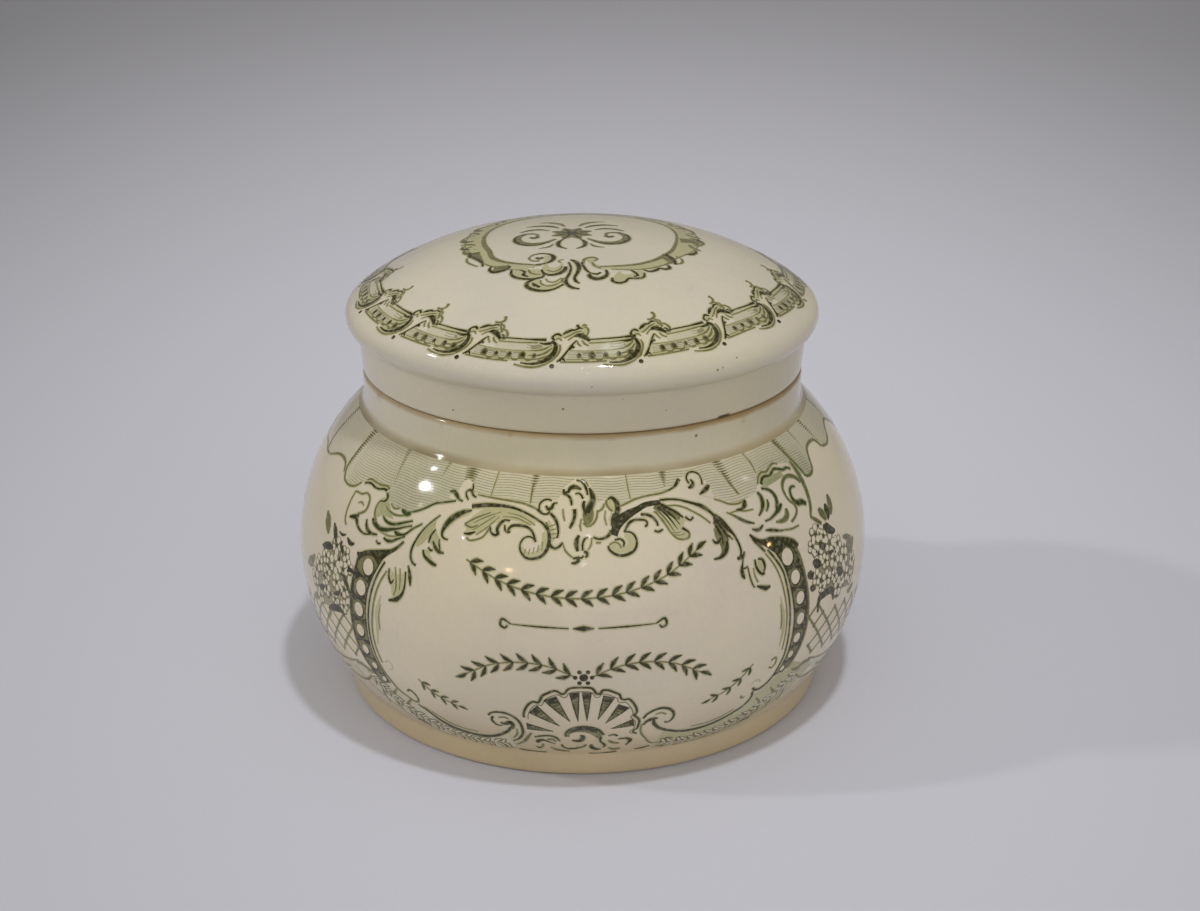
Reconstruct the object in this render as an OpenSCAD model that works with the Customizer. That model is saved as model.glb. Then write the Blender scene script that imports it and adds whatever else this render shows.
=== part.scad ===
// Round earthenware shaving cream pot: a squat jar with a loose domed lid.
// Millimetres. The origin is the middle of the foot ring's resting face, +Z is up.

/* [Jar body] */
// Widest diameter of the jar's belly
belly_d = 100; // [90:1:115]
// Height of the widest point above the table
belly_z = 25.5; // [22:0.5:29]
// Radius of the belly's side curve, seen in section
belly_arc_r = 34.5; // [31:0.5:38]
// Thickness of the jar's side wall
jar_wall = 4.2; // [3:0.1:5.5]
// Thickness of the floor of the jar
floor_t = 4.6; // [3:0.1:7]
// Radius where the inside wall turns into the floor
floor_corner_r = 9; // [4:0.5:12]

/* [Foot ring] */
// How far the foot ring's side stands in from the belly's widest line
foot_set_in = 7.4; // [6:0.1:10]
// Width of the foot ring's resting face, with its rounded edges
foot_w = 4.4; // [3.2:0.1:6]
// Depth of the hollow under the floor
foot_recess = 2.4; // [1:0.1:4]
// Radius of the foot ring's outer bottom edge
foot_round = 1.1; // [0.4:0.1:1.5]
// Radius of the hollow curve between foot and belly
foot_cove_r = 1.4; // [0.6:0.1:2.4]

/* [Neck and mouth] */
// How far the neck's side stands in from the belly's widest line
neck_set_in = 12.3; // [10.5:0.1:14]
// Height of the ledge on which the lid rests
seat_z = 57.5; // [56:0.5:62]
// Width of the ledge, from the neck's side to the collar
ledge_w = 3.8; // [3:0.1:5]
// Thickness of the collar that stands inside the lid
collar_t = 3.1; // [2:0.1:4]
// Height of the collar above the ledge
collar_h = 5.8; // [3:0.1:7]
// Radius of the hollow curve between belly and neck
neck_cove_r = 2; // [0.8:0.1:3.5]
// Radius of the rounded outer edge of the ledge
seat_round = 0.7; // [0.3:0.1:1.2]
// Radius of the rounded edge inside, where the mouth opens into the belly
mouth_ease_r = 2; // [0.6:0.1:3]

/* [Lid] */
// How far the lid's rim stands out past its skirt
rim_overhang = 2; // [1.4:0.1:2.8]
// Height of the rim's widest point above the ledge
rim_rise = 9.4; // [8:0.1:12]
// Radius of the rim's rounded nose
nose_r = 2.9; // [2:0.1:3.4]
// Height of the dome's top above the rim's widest point
dome_rise = 12.9; // [11.5:0.1:17]
// Radius of the nearly flat middle of the dome
crown_r = 110; // [90:1:180]
// Radius of the dome's outer slope
shoulder_r = 48; // [36:1:60]
// Thickness of the lid's dome
lid_wall = 4.6; // [3:0.1:6]
// How far the lid's skirt widens all round from its lower edge, flush with the neck, to the rim
skirt_flare = 0.5; // [0.1:0.1:0.8]
// Radius of the hollow curve between skirt and rim
skirt_cove_r = 0.8; // [0.3:0.1:1.5]
// Radius of the skirt's outer bottom edge
skirt_round = 0.8; // [0.3:0.1:1.2]
// Radius where the inside of the skirt turns into the dome
lid_corner_r = 3; // [1:0.1:5]

/* [Fit] */
// Gap all round between the lid's skirt and the jar's collar
fit_gap = 0.5; // [0.3:0.05:1]

/* [Hidden] */
$fn = 180;
glaze_colour = [0.80, 0.76, 0.65];
lap = 0.01; // arcs run this far past what they round into, so that no sliver is left between
out = 1;    // what is cut away reaches this far past the outline

// jar
belly_r = belly_d / 2;
belly_c = [belly_r - belly_arc_r, belly_z];
foot_r = belly_r - foot_set_in;
foot_in_r = foot_r - foot_w;
floor_z = foot_recess + floor_t;
neck_r = belly_r - neck_set_in;
collar_r = neck_r - ledge_w;
mouth_r = collar_r - collar_t;
collar_top_z = seat_z + collar_h;
collar_round = 0.45 * collar_t;
cavity_arc_r = belly_arc_r - jar_wall;

// lid
skirt_low_r = neck_r;
skirt_top_r = skirt_low_r + skirt_flare;
skirt_in_r = collar_r + fit_gap;
rim_r = skirt_top_r + rim_overhang;
nose_c = [rim_r - nose_r, seat_z + rim_rise];
dome_top_z = nose_c.y + dome_rise;
crown_c = [0, dome_top_z - crown_r];

// Where the circles of radius ra about a and rb about b cross, on the left of the way to b
function circles_cross(a, ra, b, rb) =
    let (d = norm(b - a),
         along = (ra * ra - rb * rb + d * d) / (2 * d),
         off = sqrt(ra * ra - along * along),
         u = (b - a) / d)
    a + along * u + off * [-u.y, u.x];

function angle_of(v) = atan2(v.y, v.x);

// The dome's slope lies inside the crown's circle and round the nose's, so its centre is
// where two circles about their centres cross.
shoulder_c = circles_cross(crown_c, crown_r - shoulder_r + lap, nose_c, shoulder_r - nose_r + lap);
crown_angle = angle_of(shoulder_c - crown_c);
shoulder_angle = angle_of(nose_c - shoulder_c);

// Height of the point of a circle about c that is r from the axis, above or below c
function circle_z(c, circle_r, r, side = 1) =
    c.y + side * sqrt(circle_r * circle_r - (r - c.x) * (r - c.x));

// The plane between two directions, out to a reach
module wedge(a0, a1, reach) {
    polygon([[0, 0], for (a = [a0, (a0 + a1) / 2, a1]) reach * [cos(a), sin(a)]]);
}

// What lies past a rounded corner's arc, between the directions in which it touches its sides
module past_arc(c, r, a0, a1) {
    translate(c) difference() {
        wedge(a0, a1, 3 * r);
        circle(r = r);
    }
}

// What is cut from a square corner at p to round it: sx and sy point into the material
module corner_waste(p, r, sx, sy) {
    translate(p) difference() {
        translate([sx > 0 ? -out : -r, sy > 0 ? -out : -r]) square(r + out);
        translate([sx, sy] * (r - lap)) circle(r = r);
    }
}

// Centre of the curve that fills the hollow corner between an upright wall at wall_r and a
// disc that bulges past it. side is 1 where the wall stands on the disc, -1 where it hangs
// under it.
function cove_centre(wall_r, c, disc_r, cove_r, side) =
    let (r = wall_r + cove_r - lap)
    [r, circle_z(c, disc_r + cove_r - lap, r, side)];

// The corner's filling, before the curve is cut from it
module cove_block(wall_r, c, disc_r, cove_r, side) {
    cove_c = cove_centre(wall_r, c, disc_r, cove_r, side);
    deep = c + (cove_c - c) * (disc_r - cove_r) / (disc_r + cove_r);
    points = [[wall_r - cove_r, cove_c.y], cove_c, deep, [wall_r - cove_r, deep.y]];
    polygon(side < 0 ? points : [for (i = [3:-1:0]) points[i]]); // anticlockwise either way
}

module cove_bite(wall_r, c, disc_r, cove_r, side) {
    translate(cove_centre(wall_r, c, disc_r, cove_r, side)) circle(r = cove_r);
}

module jar_outside() {
    difference() {
        union() {
            intersection() {
                translate(belly_c) circle(r = belly_arc_r);
                square([belly_r + out, seat_z]);
            }
            square([foot_r, belly_z]);
            square([neck_r, seat_z]);
            square([collar_r, collar_top_z]);
            cove_block(neck_r, belly_c, belly_arc_r, neck_cove_r, 1);
            cove_block(foot_r, belly_c, belly_arc_r, foot_cove_r, -1);
        }
        cove_bite(neck_r, belly_c, belly_arc_r, neck_cove_r, 1);
        cove_bite(foot_r, belly_c, belly_arc_r, foot_cove_r, -1);
        corner_waste([foot_r, 0], foot_round, -1, 1);
        corner_waste([neck_r, seat_z], seat_round, -1, -1);
        corner_waste([collar_r, collar_top_z], collar_round, -1, -1);
    }
}

module jar_hollow() {
    // The floor's corner rolls on the floor and against the inside of the wall.
    corner_z = floor_z + floor_corner_r - lap;
    corner_reach = cavity_arc_r - floor_corner_r + lap;
    corner_c = [belly_c.x + sqrt(pow(corner_reach, 2) - pow(belly_z - corner_z, 2)), corner_z];
    difference() {
        intersection() {
            translate(belly_c) circle(r = cavity_arc_r);
            translate([0, floor_z]) square([belly_r, seat_z - floor_z]);
        }
        past_arc(corner_c, floor_corner_r, -90, angle_of(corner_c - belly_c));
    }
    // mouth, with both its edges eased
    translate([0, floor_z]) square([mouth_r, collar_top_z - floor_z + out]);
    corner_waste([mouth_r, collar_top_z], collar_round, 1, -1);
    difference() {
        cove_block(mouth_r, belly_c, cavity_arc_r, mouth_ease_r, 1);
        cove_bite(mouth_r, belly_c, cavity_arc_r, mouth_ease_r, 1);
    }
}

module jar() {
    color(glaze_colour) rotate_extrude() difference() {
        jar_outside();
        jar_hollow();
        // hollow under the floor, so that the jar stands on its foot ring
        translate([0, -out]) square([foot_in_r, foot_recess + out]);
        corner_waste([foot_in_r, 0], foot_round, 1, 1);
    }
}

// Everything under the dome's skin, set back by inset
module under_dome(inset) {
    translate(crown_c) intersection() {
        circle(r = crown_r - inset);
        wedge(crown_angle, 90, 2 * crown_r);
    }
    translate(shoulder_c) circle(r = shoulder_r - inset);
}

module lid_outside() {
    skirt_cove_z = cove_centre(skirt_top_r, nose_c, nose_r, skirt_cove_r, -1).y;
    difference() {
        union() {
            difference() {
                intersection() {
                    under_dome(0);
                    translate([0, nose_c.y]) square([rim_r, dome_rise + out]);
                }
                past_arc(nose_c, nose_r, 0, shoulder_angle);
            }
            translate([0, nose_c.y - nose_r]) square([nose_c.x, nose_r]);
            translate(nose_c) circle(r = nose_r);
            polygon([[0, seat_z], [skirt_low_r, seat_z], [skirt_low_r, seat_z + skirt_round],
                     [skirt_top_r, skirt_cove_z], [skirt_top_r, nose_c.y], [0, nose_c.y]]);
            cove_block(skirt_top_r, nose_c, nose_r, skirt_cove_r, -1);
        }
        cove_bite(skirt_top_r, nose_c, nose_r, skirt_cove_r, -1);
        corner_waste([skirt_low_r, seat_z], skirt_round, -1, 1);
    }
}

module lid_hollow() {
    // The corner under the rim rolls on the skirt's inside and under the dome's slope.
    slope_r = shoulder_r - lid_wall;
    corner_x = skirt_in_r - lid_corner_r + lap;
    corner_c = [corner_x, circle_z(shoulder_c, slope_r - lid_corner_r + lap, corner_x)];
    difference() {
        intersection() {
            under_dome(lid_wall);
            translate([0, seat_z - out]) square([skirt_in_r, dome_top_z - seat_z + out]);
        }
        past_arc(corner_c, lid_corner_r, 0, angle_of(corner_c - shoulder_c));
    }
    corner_waste([skirt_in_r, seat_z], skirt_round, 1, 1);
}

module lid() {
    color(glaze_colour) rotate_extrude() difference() {
        lid_outside();
        lid_hollow();
    }
}

jar();
lid();
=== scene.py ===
import math

import bpy
import numpy as np
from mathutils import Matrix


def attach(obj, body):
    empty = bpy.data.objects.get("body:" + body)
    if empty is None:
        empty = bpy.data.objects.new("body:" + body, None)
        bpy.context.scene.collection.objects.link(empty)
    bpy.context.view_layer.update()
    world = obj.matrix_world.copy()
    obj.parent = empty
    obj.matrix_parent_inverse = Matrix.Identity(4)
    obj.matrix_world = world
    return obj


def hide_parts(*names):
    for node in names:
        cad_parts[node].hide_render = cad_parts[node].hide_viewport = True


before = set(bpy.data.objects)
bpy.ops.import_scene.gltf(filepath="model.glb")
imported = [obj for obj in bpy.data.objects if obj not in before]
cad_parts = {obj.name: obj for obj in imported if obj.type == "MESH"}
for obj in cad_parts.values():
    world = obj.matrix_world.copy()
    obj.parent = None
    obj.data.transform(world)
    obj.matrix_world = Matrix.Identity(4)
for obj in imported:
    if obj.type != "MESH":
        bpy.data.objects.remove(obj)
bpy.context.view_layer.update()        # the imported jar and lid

mm = 0.001
tau = 2 * math.pi

# Profiles of the pot: (radius, height) in mm, from the axis round and back to it

profile = dict(          # mm between two points of a profile, and the widest turn between them in radians
    facet=0.8, turn=0.26, touching=0.02,
    merged=0.005, crease=50,     # mm within which points are joined, and the sharpest smooth edge in degrees
)

jar = dict(
    bellyCentre=(15.5, 25.5), bellyArc=34.5, wall=4.2,
    footR=42.6, footInR=38.2, footRecess=2.4, footRound=1.1, footCove=1.4,
    neckR=37.7, neckCove=2.0, seatZ=57.5, seatRound=0.7,
    collarR=33.9, mouthR=30.8, collarTop=63.3, collarRound=1.4, mouthEase=2.0,
    floorZ=7.0, floorCorner=9.0,
    steps=288,           # facets round the pot
)

lid = dict(
    top=79.8, crownArc=110.0, shoulderArc=48.0, noseArc=2.9, noseCentre=(37.3, 66.9),
    wall=4.6, seatZ=57.5, skirtTopR=38.2, skirtLowR=37.7, skirtInR=34.4,
    skirtCove=0.8, skirtRound=0.8, innerCorner=3.0,
    steps=288,
)


def toward(a, b):
    return math.degrees(math.atan2(b[1] - a[1], b[0] - a[0]))


def onArc(centre, radius, angle):
    a = math.radians(angle)
    return (centre[0] + radius * math.cos(a), centre[1] + radius * math.sin(a))


def heightOn(centre, radius, r, side):
    return centre[1] + side * math.sqrt(radius ** 2 - (r - centre[0]) ** 2)


class Outline:
    # A profile drawn point by point, in straight runs and arcs

    def __init__(self, start):
        self.points = [start]

    def line(self, r, z):
        r0, z0 = self.points[-1]
        count = max(1, round(math.hypot(r - r0, z - z0) / (2 * profile["facet"])))
        for i in range(1, count + 1):
            self.points.append((r0 + (r - r0) * i / count, z0 + (z - z0) * i / count))

    def arc(self, centre, radius, start, end):
        first = onArc(centre, radius, start)
        if math.dist(first, self.points[-1]) > profile["touching"]:
            self.line(*first)
        sweep = abs(math.radians(end - start))
        count = max(3, round(sweep * radius / profile["facet"]), round(sweep / profile["turn"]))
        for i in range(1, count + 1):
            self.points.append(onArc(centre, radius, start + (end - start) * i / count))


def jarOutline():
    p = jar
    belly = p["bellyCentre"]
    hollowArc = p["bellyArc"] - p["wall"]
    footCove = p["footR"] + p["footCove"]
    footCove = (footCove, heightOn(belly, p["bellyArc"] + p["footCove"], footCove, -1))
    neckCove = p["neckR"] + p["neckCove"]
    neckCove = (neckCove, heightOn(belly, p["bellyArc"] + p["neckCove"], neckCove, 1))
    ease = p["mouthR"] + p["mouthEase"]
    ease = (ease, heightOn(belly, hollowArc + p["mouthEase"], ease, 1))
    cornerZ = p["floorZ"] + p["floorCorner"]
    cornerReach = hollowArc - p["floorCorner"]
    corner = (belly[0] + math.sqrt(cornerReach ** 2 - (belly[1] - cornerZ) ** 2), cornerZ)
    foot, seat, rim = p["footRound"], p["seatRound"], p["collarRound"]

    out = Outline((0, p["footRecess"]))
    out.line(p["footInR"], p["footRecess"])
    out.arc((p["footInR"] + foot, foot), foot, 180, 270)
    out.arc((p["footR"] - foot, foot), foot, 270, 360)
    out.arc(footCove, p["footCove"], 180, toward(footCove, belly))
    out.arc(belly, p["bellyArc"], toward(belly, footCove), toward(belly, neckCove))
    out.arc(neckCove, p["neckCove"], toward(neckCove, belly) % 360, 180)
    out.arc((p["neckR"] - seat, p["seatZ"] - seat), seat, 0, 90)
    out.line(p["collarR"], p["seatZ"])
    out.arc((p["collarR"] - rim, p["collarTop"] - rim), rim, 0, 90)
    out.arc((p["mouthR"] + rim, p["collarTop"] - rim), rim, 90, 180)
    out.arc(ease, p["mouthEase"], 180, toward(ease, belly) % 360)
    out.arc(belly, hollowArc, toward(belly, ease), toward(belly, corner))
    out.arc(corner, p["floorCorner"], toward(belly, corner), -90)
    out.line(0, p["floorZ"])
    return out.points


def lidCircles():
    # The dome's crown and slope, which run into each other and into the rim's nose
    p = lid
    crown = (0.0, p["top"] - p["crownArc"])
    nose = p["noseCentre"]
    ra = p["crownArc"] - p["shoulderArc"]
    rb = p["shoulderArc"] - p["noseArc"]
    d = math.dist(crown, nose)
    along = (ra ** 2 - rb ** 2 + d ** 2) / (2 * d)
    off = math.sqrt(ra ** 2 - along ** 2)
    u = ((nose[0] - crown[0]) / d, (nose[1] - crown[1]) / d)
    slope = (crown[0] + along * u[0] - off * u[1], crown[1] + along * u[1] + off * u[0])
    return crown, slope, nose


def lidOutline():
    p = lid
    crown, slope, nose = lidCircles()
    crownEnd, slopeEnd = toward(crown, slope), toward(slope, nose)
    cove = p["skirtTopR"] + p["skirtCove"]
    cove = (cove, heightOn(nose, p["noseArc"] + p["skirtCove"], cove, -1))
    hem = p["skirtRound"]
    under = p["shoulderArc"] - p["wall"]
    cornerR = p["skirtInR"] - p["innerCorner"]
    corner = (cornerR, heightOn(slope, under - p["innerCorner"], cornerR, 1))

    out = Outline((0, p["top"]))
    out.arc(crown, p["crownArc"], 90, crownEnd)
    out.arc(slope, p["shoulderArc"], crownEnd, slopeEnd)
    out.arc(nose, p["noseArc"], slopeEnd, toward(nose, cove))
    out.arc(cove, p["skirtCove"], toward(cove, nose) % 360, 180)
    out.arc((p["skirtLowR"] - hem, p["seatZ"] + hem), hem, 0, -90)
    out.arc((p["skirtInR"] + hem, p["seatZ"] + hem), hem, -90, -180)
    out.arc(corner, p["innerCorner"], 0, toward(slope, corner))
    out.arc(slope, under, toward(slope, corner), crownEnd)
    out.arc(crown, p["crownArc"] - p["wall"], crownEnd, 90)
    return out.points


def selectOnly(piece):
    bpy.ops.object.select_all(action="DESELECT")
    piece.select_set(True)
    bpy.context.view_layer.objects.active = piece


def spun(name, points, steps):
    # Turns a profile once round the pot's axis, as on a wheel
    mesh = bpy.data.meshes.new(name)
    verts = [(r * mm, 0, z * mm) for r, z in points]
    mesh.from_pydata(verts, [(i, i + 1) for i in range(len(verts) - 1)], [])
    piece = bpy.data.objects.new(name, mesh)
    bpy.context.collection.objects.link(piece)
    selectOnly(piece)
    bpy.ops.object.mode_set(mode="EDIT")
    bpy.ops.mesh.select_all(action="SELECT")
    bpy.ops.mesh.spin(steps=steps, angle=tau, center=(0, 0, 0), axis=(0, 0, 1))
    bpy.ops.mesh.select_all(action="SELECT")
    bpy.ops.mesh.remove_doubles(threshold=profile["merged"] * mm)
    bpy.ops.mesh.normals_make_consistent(inside=False)
    bpy.ops.object.mode_set(mode="OBJECT")
    bpy.ops.object.shade_smooth_by_angle(angle=math.radians(profile["crease"]))
    print(name, len(mesh.polygons), "faces")
    return piece


jarBody = spun("jarBody", jarOutline(), jar["steps"])
lidBody = spun("lidBody", lidOutline(), lid["steps"])
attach(jarBody, "jar")
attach(lidBody, "lid")
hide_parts("jar")
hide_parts("lid")


def colour(r, g, b):
    # An sRGB colour, 0 to 255, as Blender wants it
    return tuple(((c / 255 + 0.055) / 1.055) ** 2.4 if c > 10 else c / 3294 for c in (r, g, b)) + (1,)


glaze = dict(
    # the grey of the neck and skirt is painted shade under the lid's rim, and the lighter colour beside the
    # cream is painted light on their left side
    cream=colour(217, 206, 184), litLeft=colour(221, 212, 190), underRimShade=colour(208, 199, 177),
    top=colour(216, 208, 190), tan=colour(196, 178, 144), soil=colour(186, 165, 128),
    stain=colour(158, 130, 82), coveBrown=colour(156, 142, 108), dirt=colour(84, 66, 44),
    crack=colour(150, 132, 98), crazing=0.07,            # the cracks' colour, and how much of it shows
    crackScale=240, crackWidth=0.022, crackDepth=0.12, crackBend=0.0016, bendScale=160, crackedScale=55,
    cloudScale=38, cloud=(0.955, 1.03), grainScale=900, grain=(0.985, 1.015), blueScale=24, blue=(0.93, 1.03),
    rippleScale=130, ripple=0.6, bump=0.25, bumpReach=0.0004, glossScale=90, roughness=(0.06, 0.11),
)
printColours = dict(
    wash=colour(204, 196, 172), hatch=colour(148, 142, 110), pale=colour(186, 180, 140),
    mid=colour(114, 110, 68), ink=colour(50, 47, 12),
)


def add(tree, kind, inputs=None, **settings):
    made = tree.nodes.new("ShaderNode" + kind)
    for key, value in settings.items():
        setattr(made, key, value)
    for key, value in (inputs or {}).items():
        if isinstance(value, bpy.types.NodeSocket):
            tree.links.new(value, made.inputs[key])
        else:
            made.inputs[key].default_value = value
    return made


def mixed(tree, factor, a, b, blend="MIX"):
    return add(tree, "Mix", {0: factor, 6: a, 7: b}, data_type="RGBA", blend_type=blend).outputs[2]


def worked(tree, operation, a, b=0.0):
    return add(tree, "Math", {0: a, 1: b}, operation=operation).outputs[0]


def times(tree, a, b):
    return worked(tree, "MULTIPLY", a, b)


def plus(tree, a, b):
    return worked(tree, "ADD", a, b)


def ramped(tree, value, low, high, toLow=0.0, toHigh=1.0):
    return add(tree, "MapRange", {0: value, 1: low, 2: high, 3: toLow, 4: toHigh},
        interpolation_type="SMOOTHSTEP").outputs[0]


def across(tree, value, ends):
    # 0 to 1 between two places in mm
    return ramped(tree, value, ends[0] * mm, ends[1] * mm)


def noise(tree, at, scale, detail=2.0):
    return add(tree, "TexNoise", {"Vector": at, "Scale": scale, "Detail": detail}).outputs[0]


def patchy(tree, at, scale, detail, low, high, toLow=0.0, toHigh=1.0):
    # Noise spread out between two values
    return ramped(tree, noise(tree, at, scale, detail), low, high, toLow, toHigh)


def placeOn(tree, at):
    return add(tree, "SeparateXYZ", {0: at}).outputs


def near(tree, at, point, radius, soft):
    # 1 within a radius of a point in mm, 0 past its soft edge
    away = add(tree, "VectorMath", {0: at, 1: [c * mm for c in point]},
        operation="DISTANCE").outputs["Value"]
    return ramped(tree, away, (radius + soft) * mm, radius * mm)


def glazeGroup():
    # Cloudy glaze with fine crazing
    p = glaze
    group = bpy.data.node_groups.new("potGlaze", "ShaderNodeTree")
    for way, name, kind in (("INPUT", "Colour", "Color"), ("INPUT", "Crazing", "Float"),
                            ("OUTPUT", "Colour", "Color"), ("OUTPUT", "Roughness", "Float"),
                            ("OUTPUT", "Height", "Float")):
        group.interface.new_socket(name, in_out=way, socket_type="NodeSocket" + kind)
    entry = group.nodes.new("NodeGroupInput").outputs
    leave = group.nodes.new("NodeGroupOutput").inputs
    at = add(group, "TexCoord").outputs["Object"]
    tone = times(group, patchy(group, at, p["cloudScale"], 3, 0.3, 0.7, *p["cloud"]),
                 patchy(group, at, p["grainScale"], 2, 0.2, 0.8, *p["grain"]))
    blue = patchy(group, at, p["blueScale"], 2, 0.3, 0.7, *p["blue"])
    tint = add(group, "CombineColor", {0: tone, 1: tone, 2: blue}).outputs[0]
    rgb = mixed(group, 1.0, entry["Colour"], tint, "MULTIPLY")
    warp = add(group, "TexNoise", {"Vector": at, "Scale": p["bendScale"]}).outputs["Color"]
    bent = add(group, "VectorMath", {0: warp, 1: (p["crackBend"],) * 3, 2: at}, operation="MULTIPLY_ADD")
    cells = add(group, "TexVoronoi", {"Vector": bent.outputs[0], "Scale": p["crackScale"]},
                feature="DISTANCE_TO_EDGE").outputs["Distance"]
    crack = times(group, ramped(group, cells, p["crackWidth"], 0.0),
                  patchy(group, at, p["crackedScale"], 2, 0.42, 0.62))
    crack = times(group, crack, entry["Crazing"])
    ripple = times(group, noise(group, at, p["rippleScale"], 2), p["ripple"])
    height = worked(group, "SUBTRACT", ripple, times(group, crack, p["crackDepth"]))
    group.links.new(mixed(group, crack, rgb, p["crack"]), leave["Colour"])
    group.links.new(patchy(group, at, p["glossScale"], 3, 0.3, 0.75, *p["roughness"]), leave["Roughness"])
    group.links.new(height, leave["Height"])
    return group


potGlaze = glazeGroup()


def material(name):
    made = bpy.data.materials.new(name)
    made.use_nodes = True
    made.node_tree.nodes.clear()
    return made, made.node_tree


def glazed(name, paint):
    # A material under the pot's glaze: paint gives its colour from the place on the pot
    made, tree = material(name)
    rgb = paint(tree, add(tree, "TexCoord").outputs["Object"])
    coat = add(tree, "Group", {"Colour": rgb, "Crazing": glaze["crazing"]}, node_tree=potGlaze).outputs
    bump = add(tree, "Bump", {"Strength": glaze["bump"], "Distance": glaze["bumpReach"],
                              "Height": coat["Height"]})
    shader = add(tree, "BsdfPrincipled", {"Base Color": coat["Colour"], "Roughness": coat["Roughness"],
                                          "Normal": bump.outputs[0]})
    tree.links.new(shader.outputs[0], add(tree, "OutputMaterial").inputs[0])
    return made


wear = dict(   # mm on the pot: places and radii
    specks=[(-3, -37.9, 61.9, .24), (20.7, -34.4, 66.9, .24), (-20.2, -32, 59.6, .2), (17.7, -33.3, 55.7, .3),
            (23.8, -32.1, 68.1, .18), (21.5, -33.9, 67.1, .16), (1.4, -40.1, 66.2, .14),
            (12.8, -35.7, 60.8, .13), (11.4, -36.1, 62, .12), (6.2, -37.6, 63.4, .12),
            (-14.6, -35.1, 63.9, .12), (31, -22.1, 60.3, .16), (4.2, -37.4, 56.6, .1)],
    speckStrength=0.8,
    seepings=[(-22.3, -30.4, 56.7, .7), (25.6, -27.7, 56.2, .9), (-11.2, -36, 57, .6),
              (-33.4, -17.6, 57, 1.5), (-29.6, -23.5, 57.2, .8), (33, -18, 57.2, 1)],
    blotchScale=500, blotch=(0.05, 0.35),
    chip=(22.4, -30.6, 57.4), chipR=1.05, chipSoft=0.6, chipTop=(58.3, 58.0),
    creep=0.7, creepScale=190, line=(0.4, 0.0), lineFoot=0.1,    # the brown line along the joint
    lineStrength=(0.8, 0.6), lineEnds=(30, -30),                 # at the right and the left
)
bands = dict(  # mm up the pot, where one colour passes into the next
    tan=(22, 4), tanWaves=6, tanScale=70, upright=(48, 53), dome=(64, 66.5),
    cove=(49.8, 50.6), coveEnd=(52.8, 51.1), coveScale=60, coveUneven=(0.65, 1.0),
    litLeft=(-12, -32),                    # mm to the right, between which the painted light at the left fades out
    soiled=((31, -24, 51.5), 3, 9),      # place, radius and soft edge
    soiledScale=120, soiledUneven=(0.05, 0.3),
)


def sepia(tree, at, rgb, chipped):
    # Brown that has crept along the joint of lid and jar, specks of iron, and the chip in the lid's hem
    p = wear
    place = placeOn(tree, at)
    above = worked(tree, "SUBTRACT", place["Z"], jar["seatZ"] * mm)
    crept = plus(tree, above, times(tree, noise(tree, at, p["creepScale"], 3), p["creep"] * mm))
    line = times(tree, across(tree, above, p["line"]), across(tree, crept, (-p["creep"], p["lineFoot"])))
    right, left = [end * mm for end in p["lineEnds"]]
    side = ramped(tree, place["X"], right, left, *p["lineStrength"])
    rgb = mixed(tree, times(tree, line, side), rgb, glaze["stain"])
    blotchy = patchy(tree, at, p["blotchScale"], 2, 0.35, 0.65, *p["blotch"])
    for *spot, r in p["seepings"]:
        rgb = mixed(tree, times(tree, near(tree, at, spot, 0.1, r), blotchy), rgb, glaze["stain"])
    for *spot, r in p["specks"]:
        speck = times(tree, near(tree, at, spot, 0.3 * r, r), p["speckStrength"])
        rgb = mixed(tree, speck, rgb, glaze["dirt"])
    if not chipped:
        return rgb
    chip = near(tree, at, p["chip"], p["chipR"], p["chipSoft"])
    edge = across(tree, place["Z"], p["chipTop"])
    return mixed(tree, times(tree, chip, edge), rgb, glaze["dirt"])


def uprightGlaze(tree, x):
    # Painted shade: greyer round the neck and skirt under the lid's rim, and painted light that makes them
    # lighter at their left side
    return mixed(tree, across(tree, x, bands["litLeft"]), glaze["underRimShade"], glaze["litLeft"])


def jarPaint(tree, at):
    p = bands
    place = placeOn(tree, at)
    # the foot's tan glaze, fading up over the lower belly, where the tan is also painted shade under the
    # belly's bulge
    uneven = plus(tree, place["Z"], times(tree, noise(tree, at, p["tanScale"], 3), p["tanWaves"] * mm))
    rgb = mixed(tree, across(tree, uneven, p["tan"]), glaze["cream"], glaze["tan"])
    # painted shade under the lid's rim: the neck turns grey above the cove, and painted light makes it
    # lighter at the left
    rgb = mixed(tree, across(tree, place["Z"], p["upright"]), rgb, uprightGlaze(tree, place["X"]))
    # darker and browner in the cove between belly and neck
    cove = times(tree, across(tree, place["Z"], p["cove"]), across(tree, place["Z"], p["coveEnd"]))
    cove = times(tree, cove, patchy(tree, at, p["coveScale"], 3, 0.3, 0.7, *p["coveUneven"]))
    rgb = mixed(tree, cove, rgb, glaze["coveBrown"])
    soiled = times(tree, near(tree, at, *p["soiled"]),
                   patchy(tree, at, p["soiledScale"], 3, 0.3, 0.7, *p["soiledUneven"]))
    return sepia(tree, at, mixed(tree, soiled, rgb, glaze["soil"]), False)


def lidPaint(tree, at):
    place = placeOn(tree, at)
    # the skirt carries the painted shade under the rim, up to the dome's own glaze
    rgb = mixed(tree, across(tree, place["Z"], bands["dome"]), uprightGlaze(tree, place["X"]), glaze["top"])
    return sepia(tree, at, rgb, True)


prints = dict(     # how the print's colour changes over the pot, in mm
    green=colour(58, 96, 34), greenShare=0.45, groundShare=0.28,     # of lines, and of the pale grounds
    greenLeft=((-27, -34, 46), 2, 12), greenRight=((34.4, -28.9, 43.6), 3, 9), leftShare=0.7,
    greenScale=90, greenUneven=(0.4, 1.0), darkerRightAt=(22, 42), heavy=0.22, wornScale=1500, worn=0.2,
)


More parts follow.
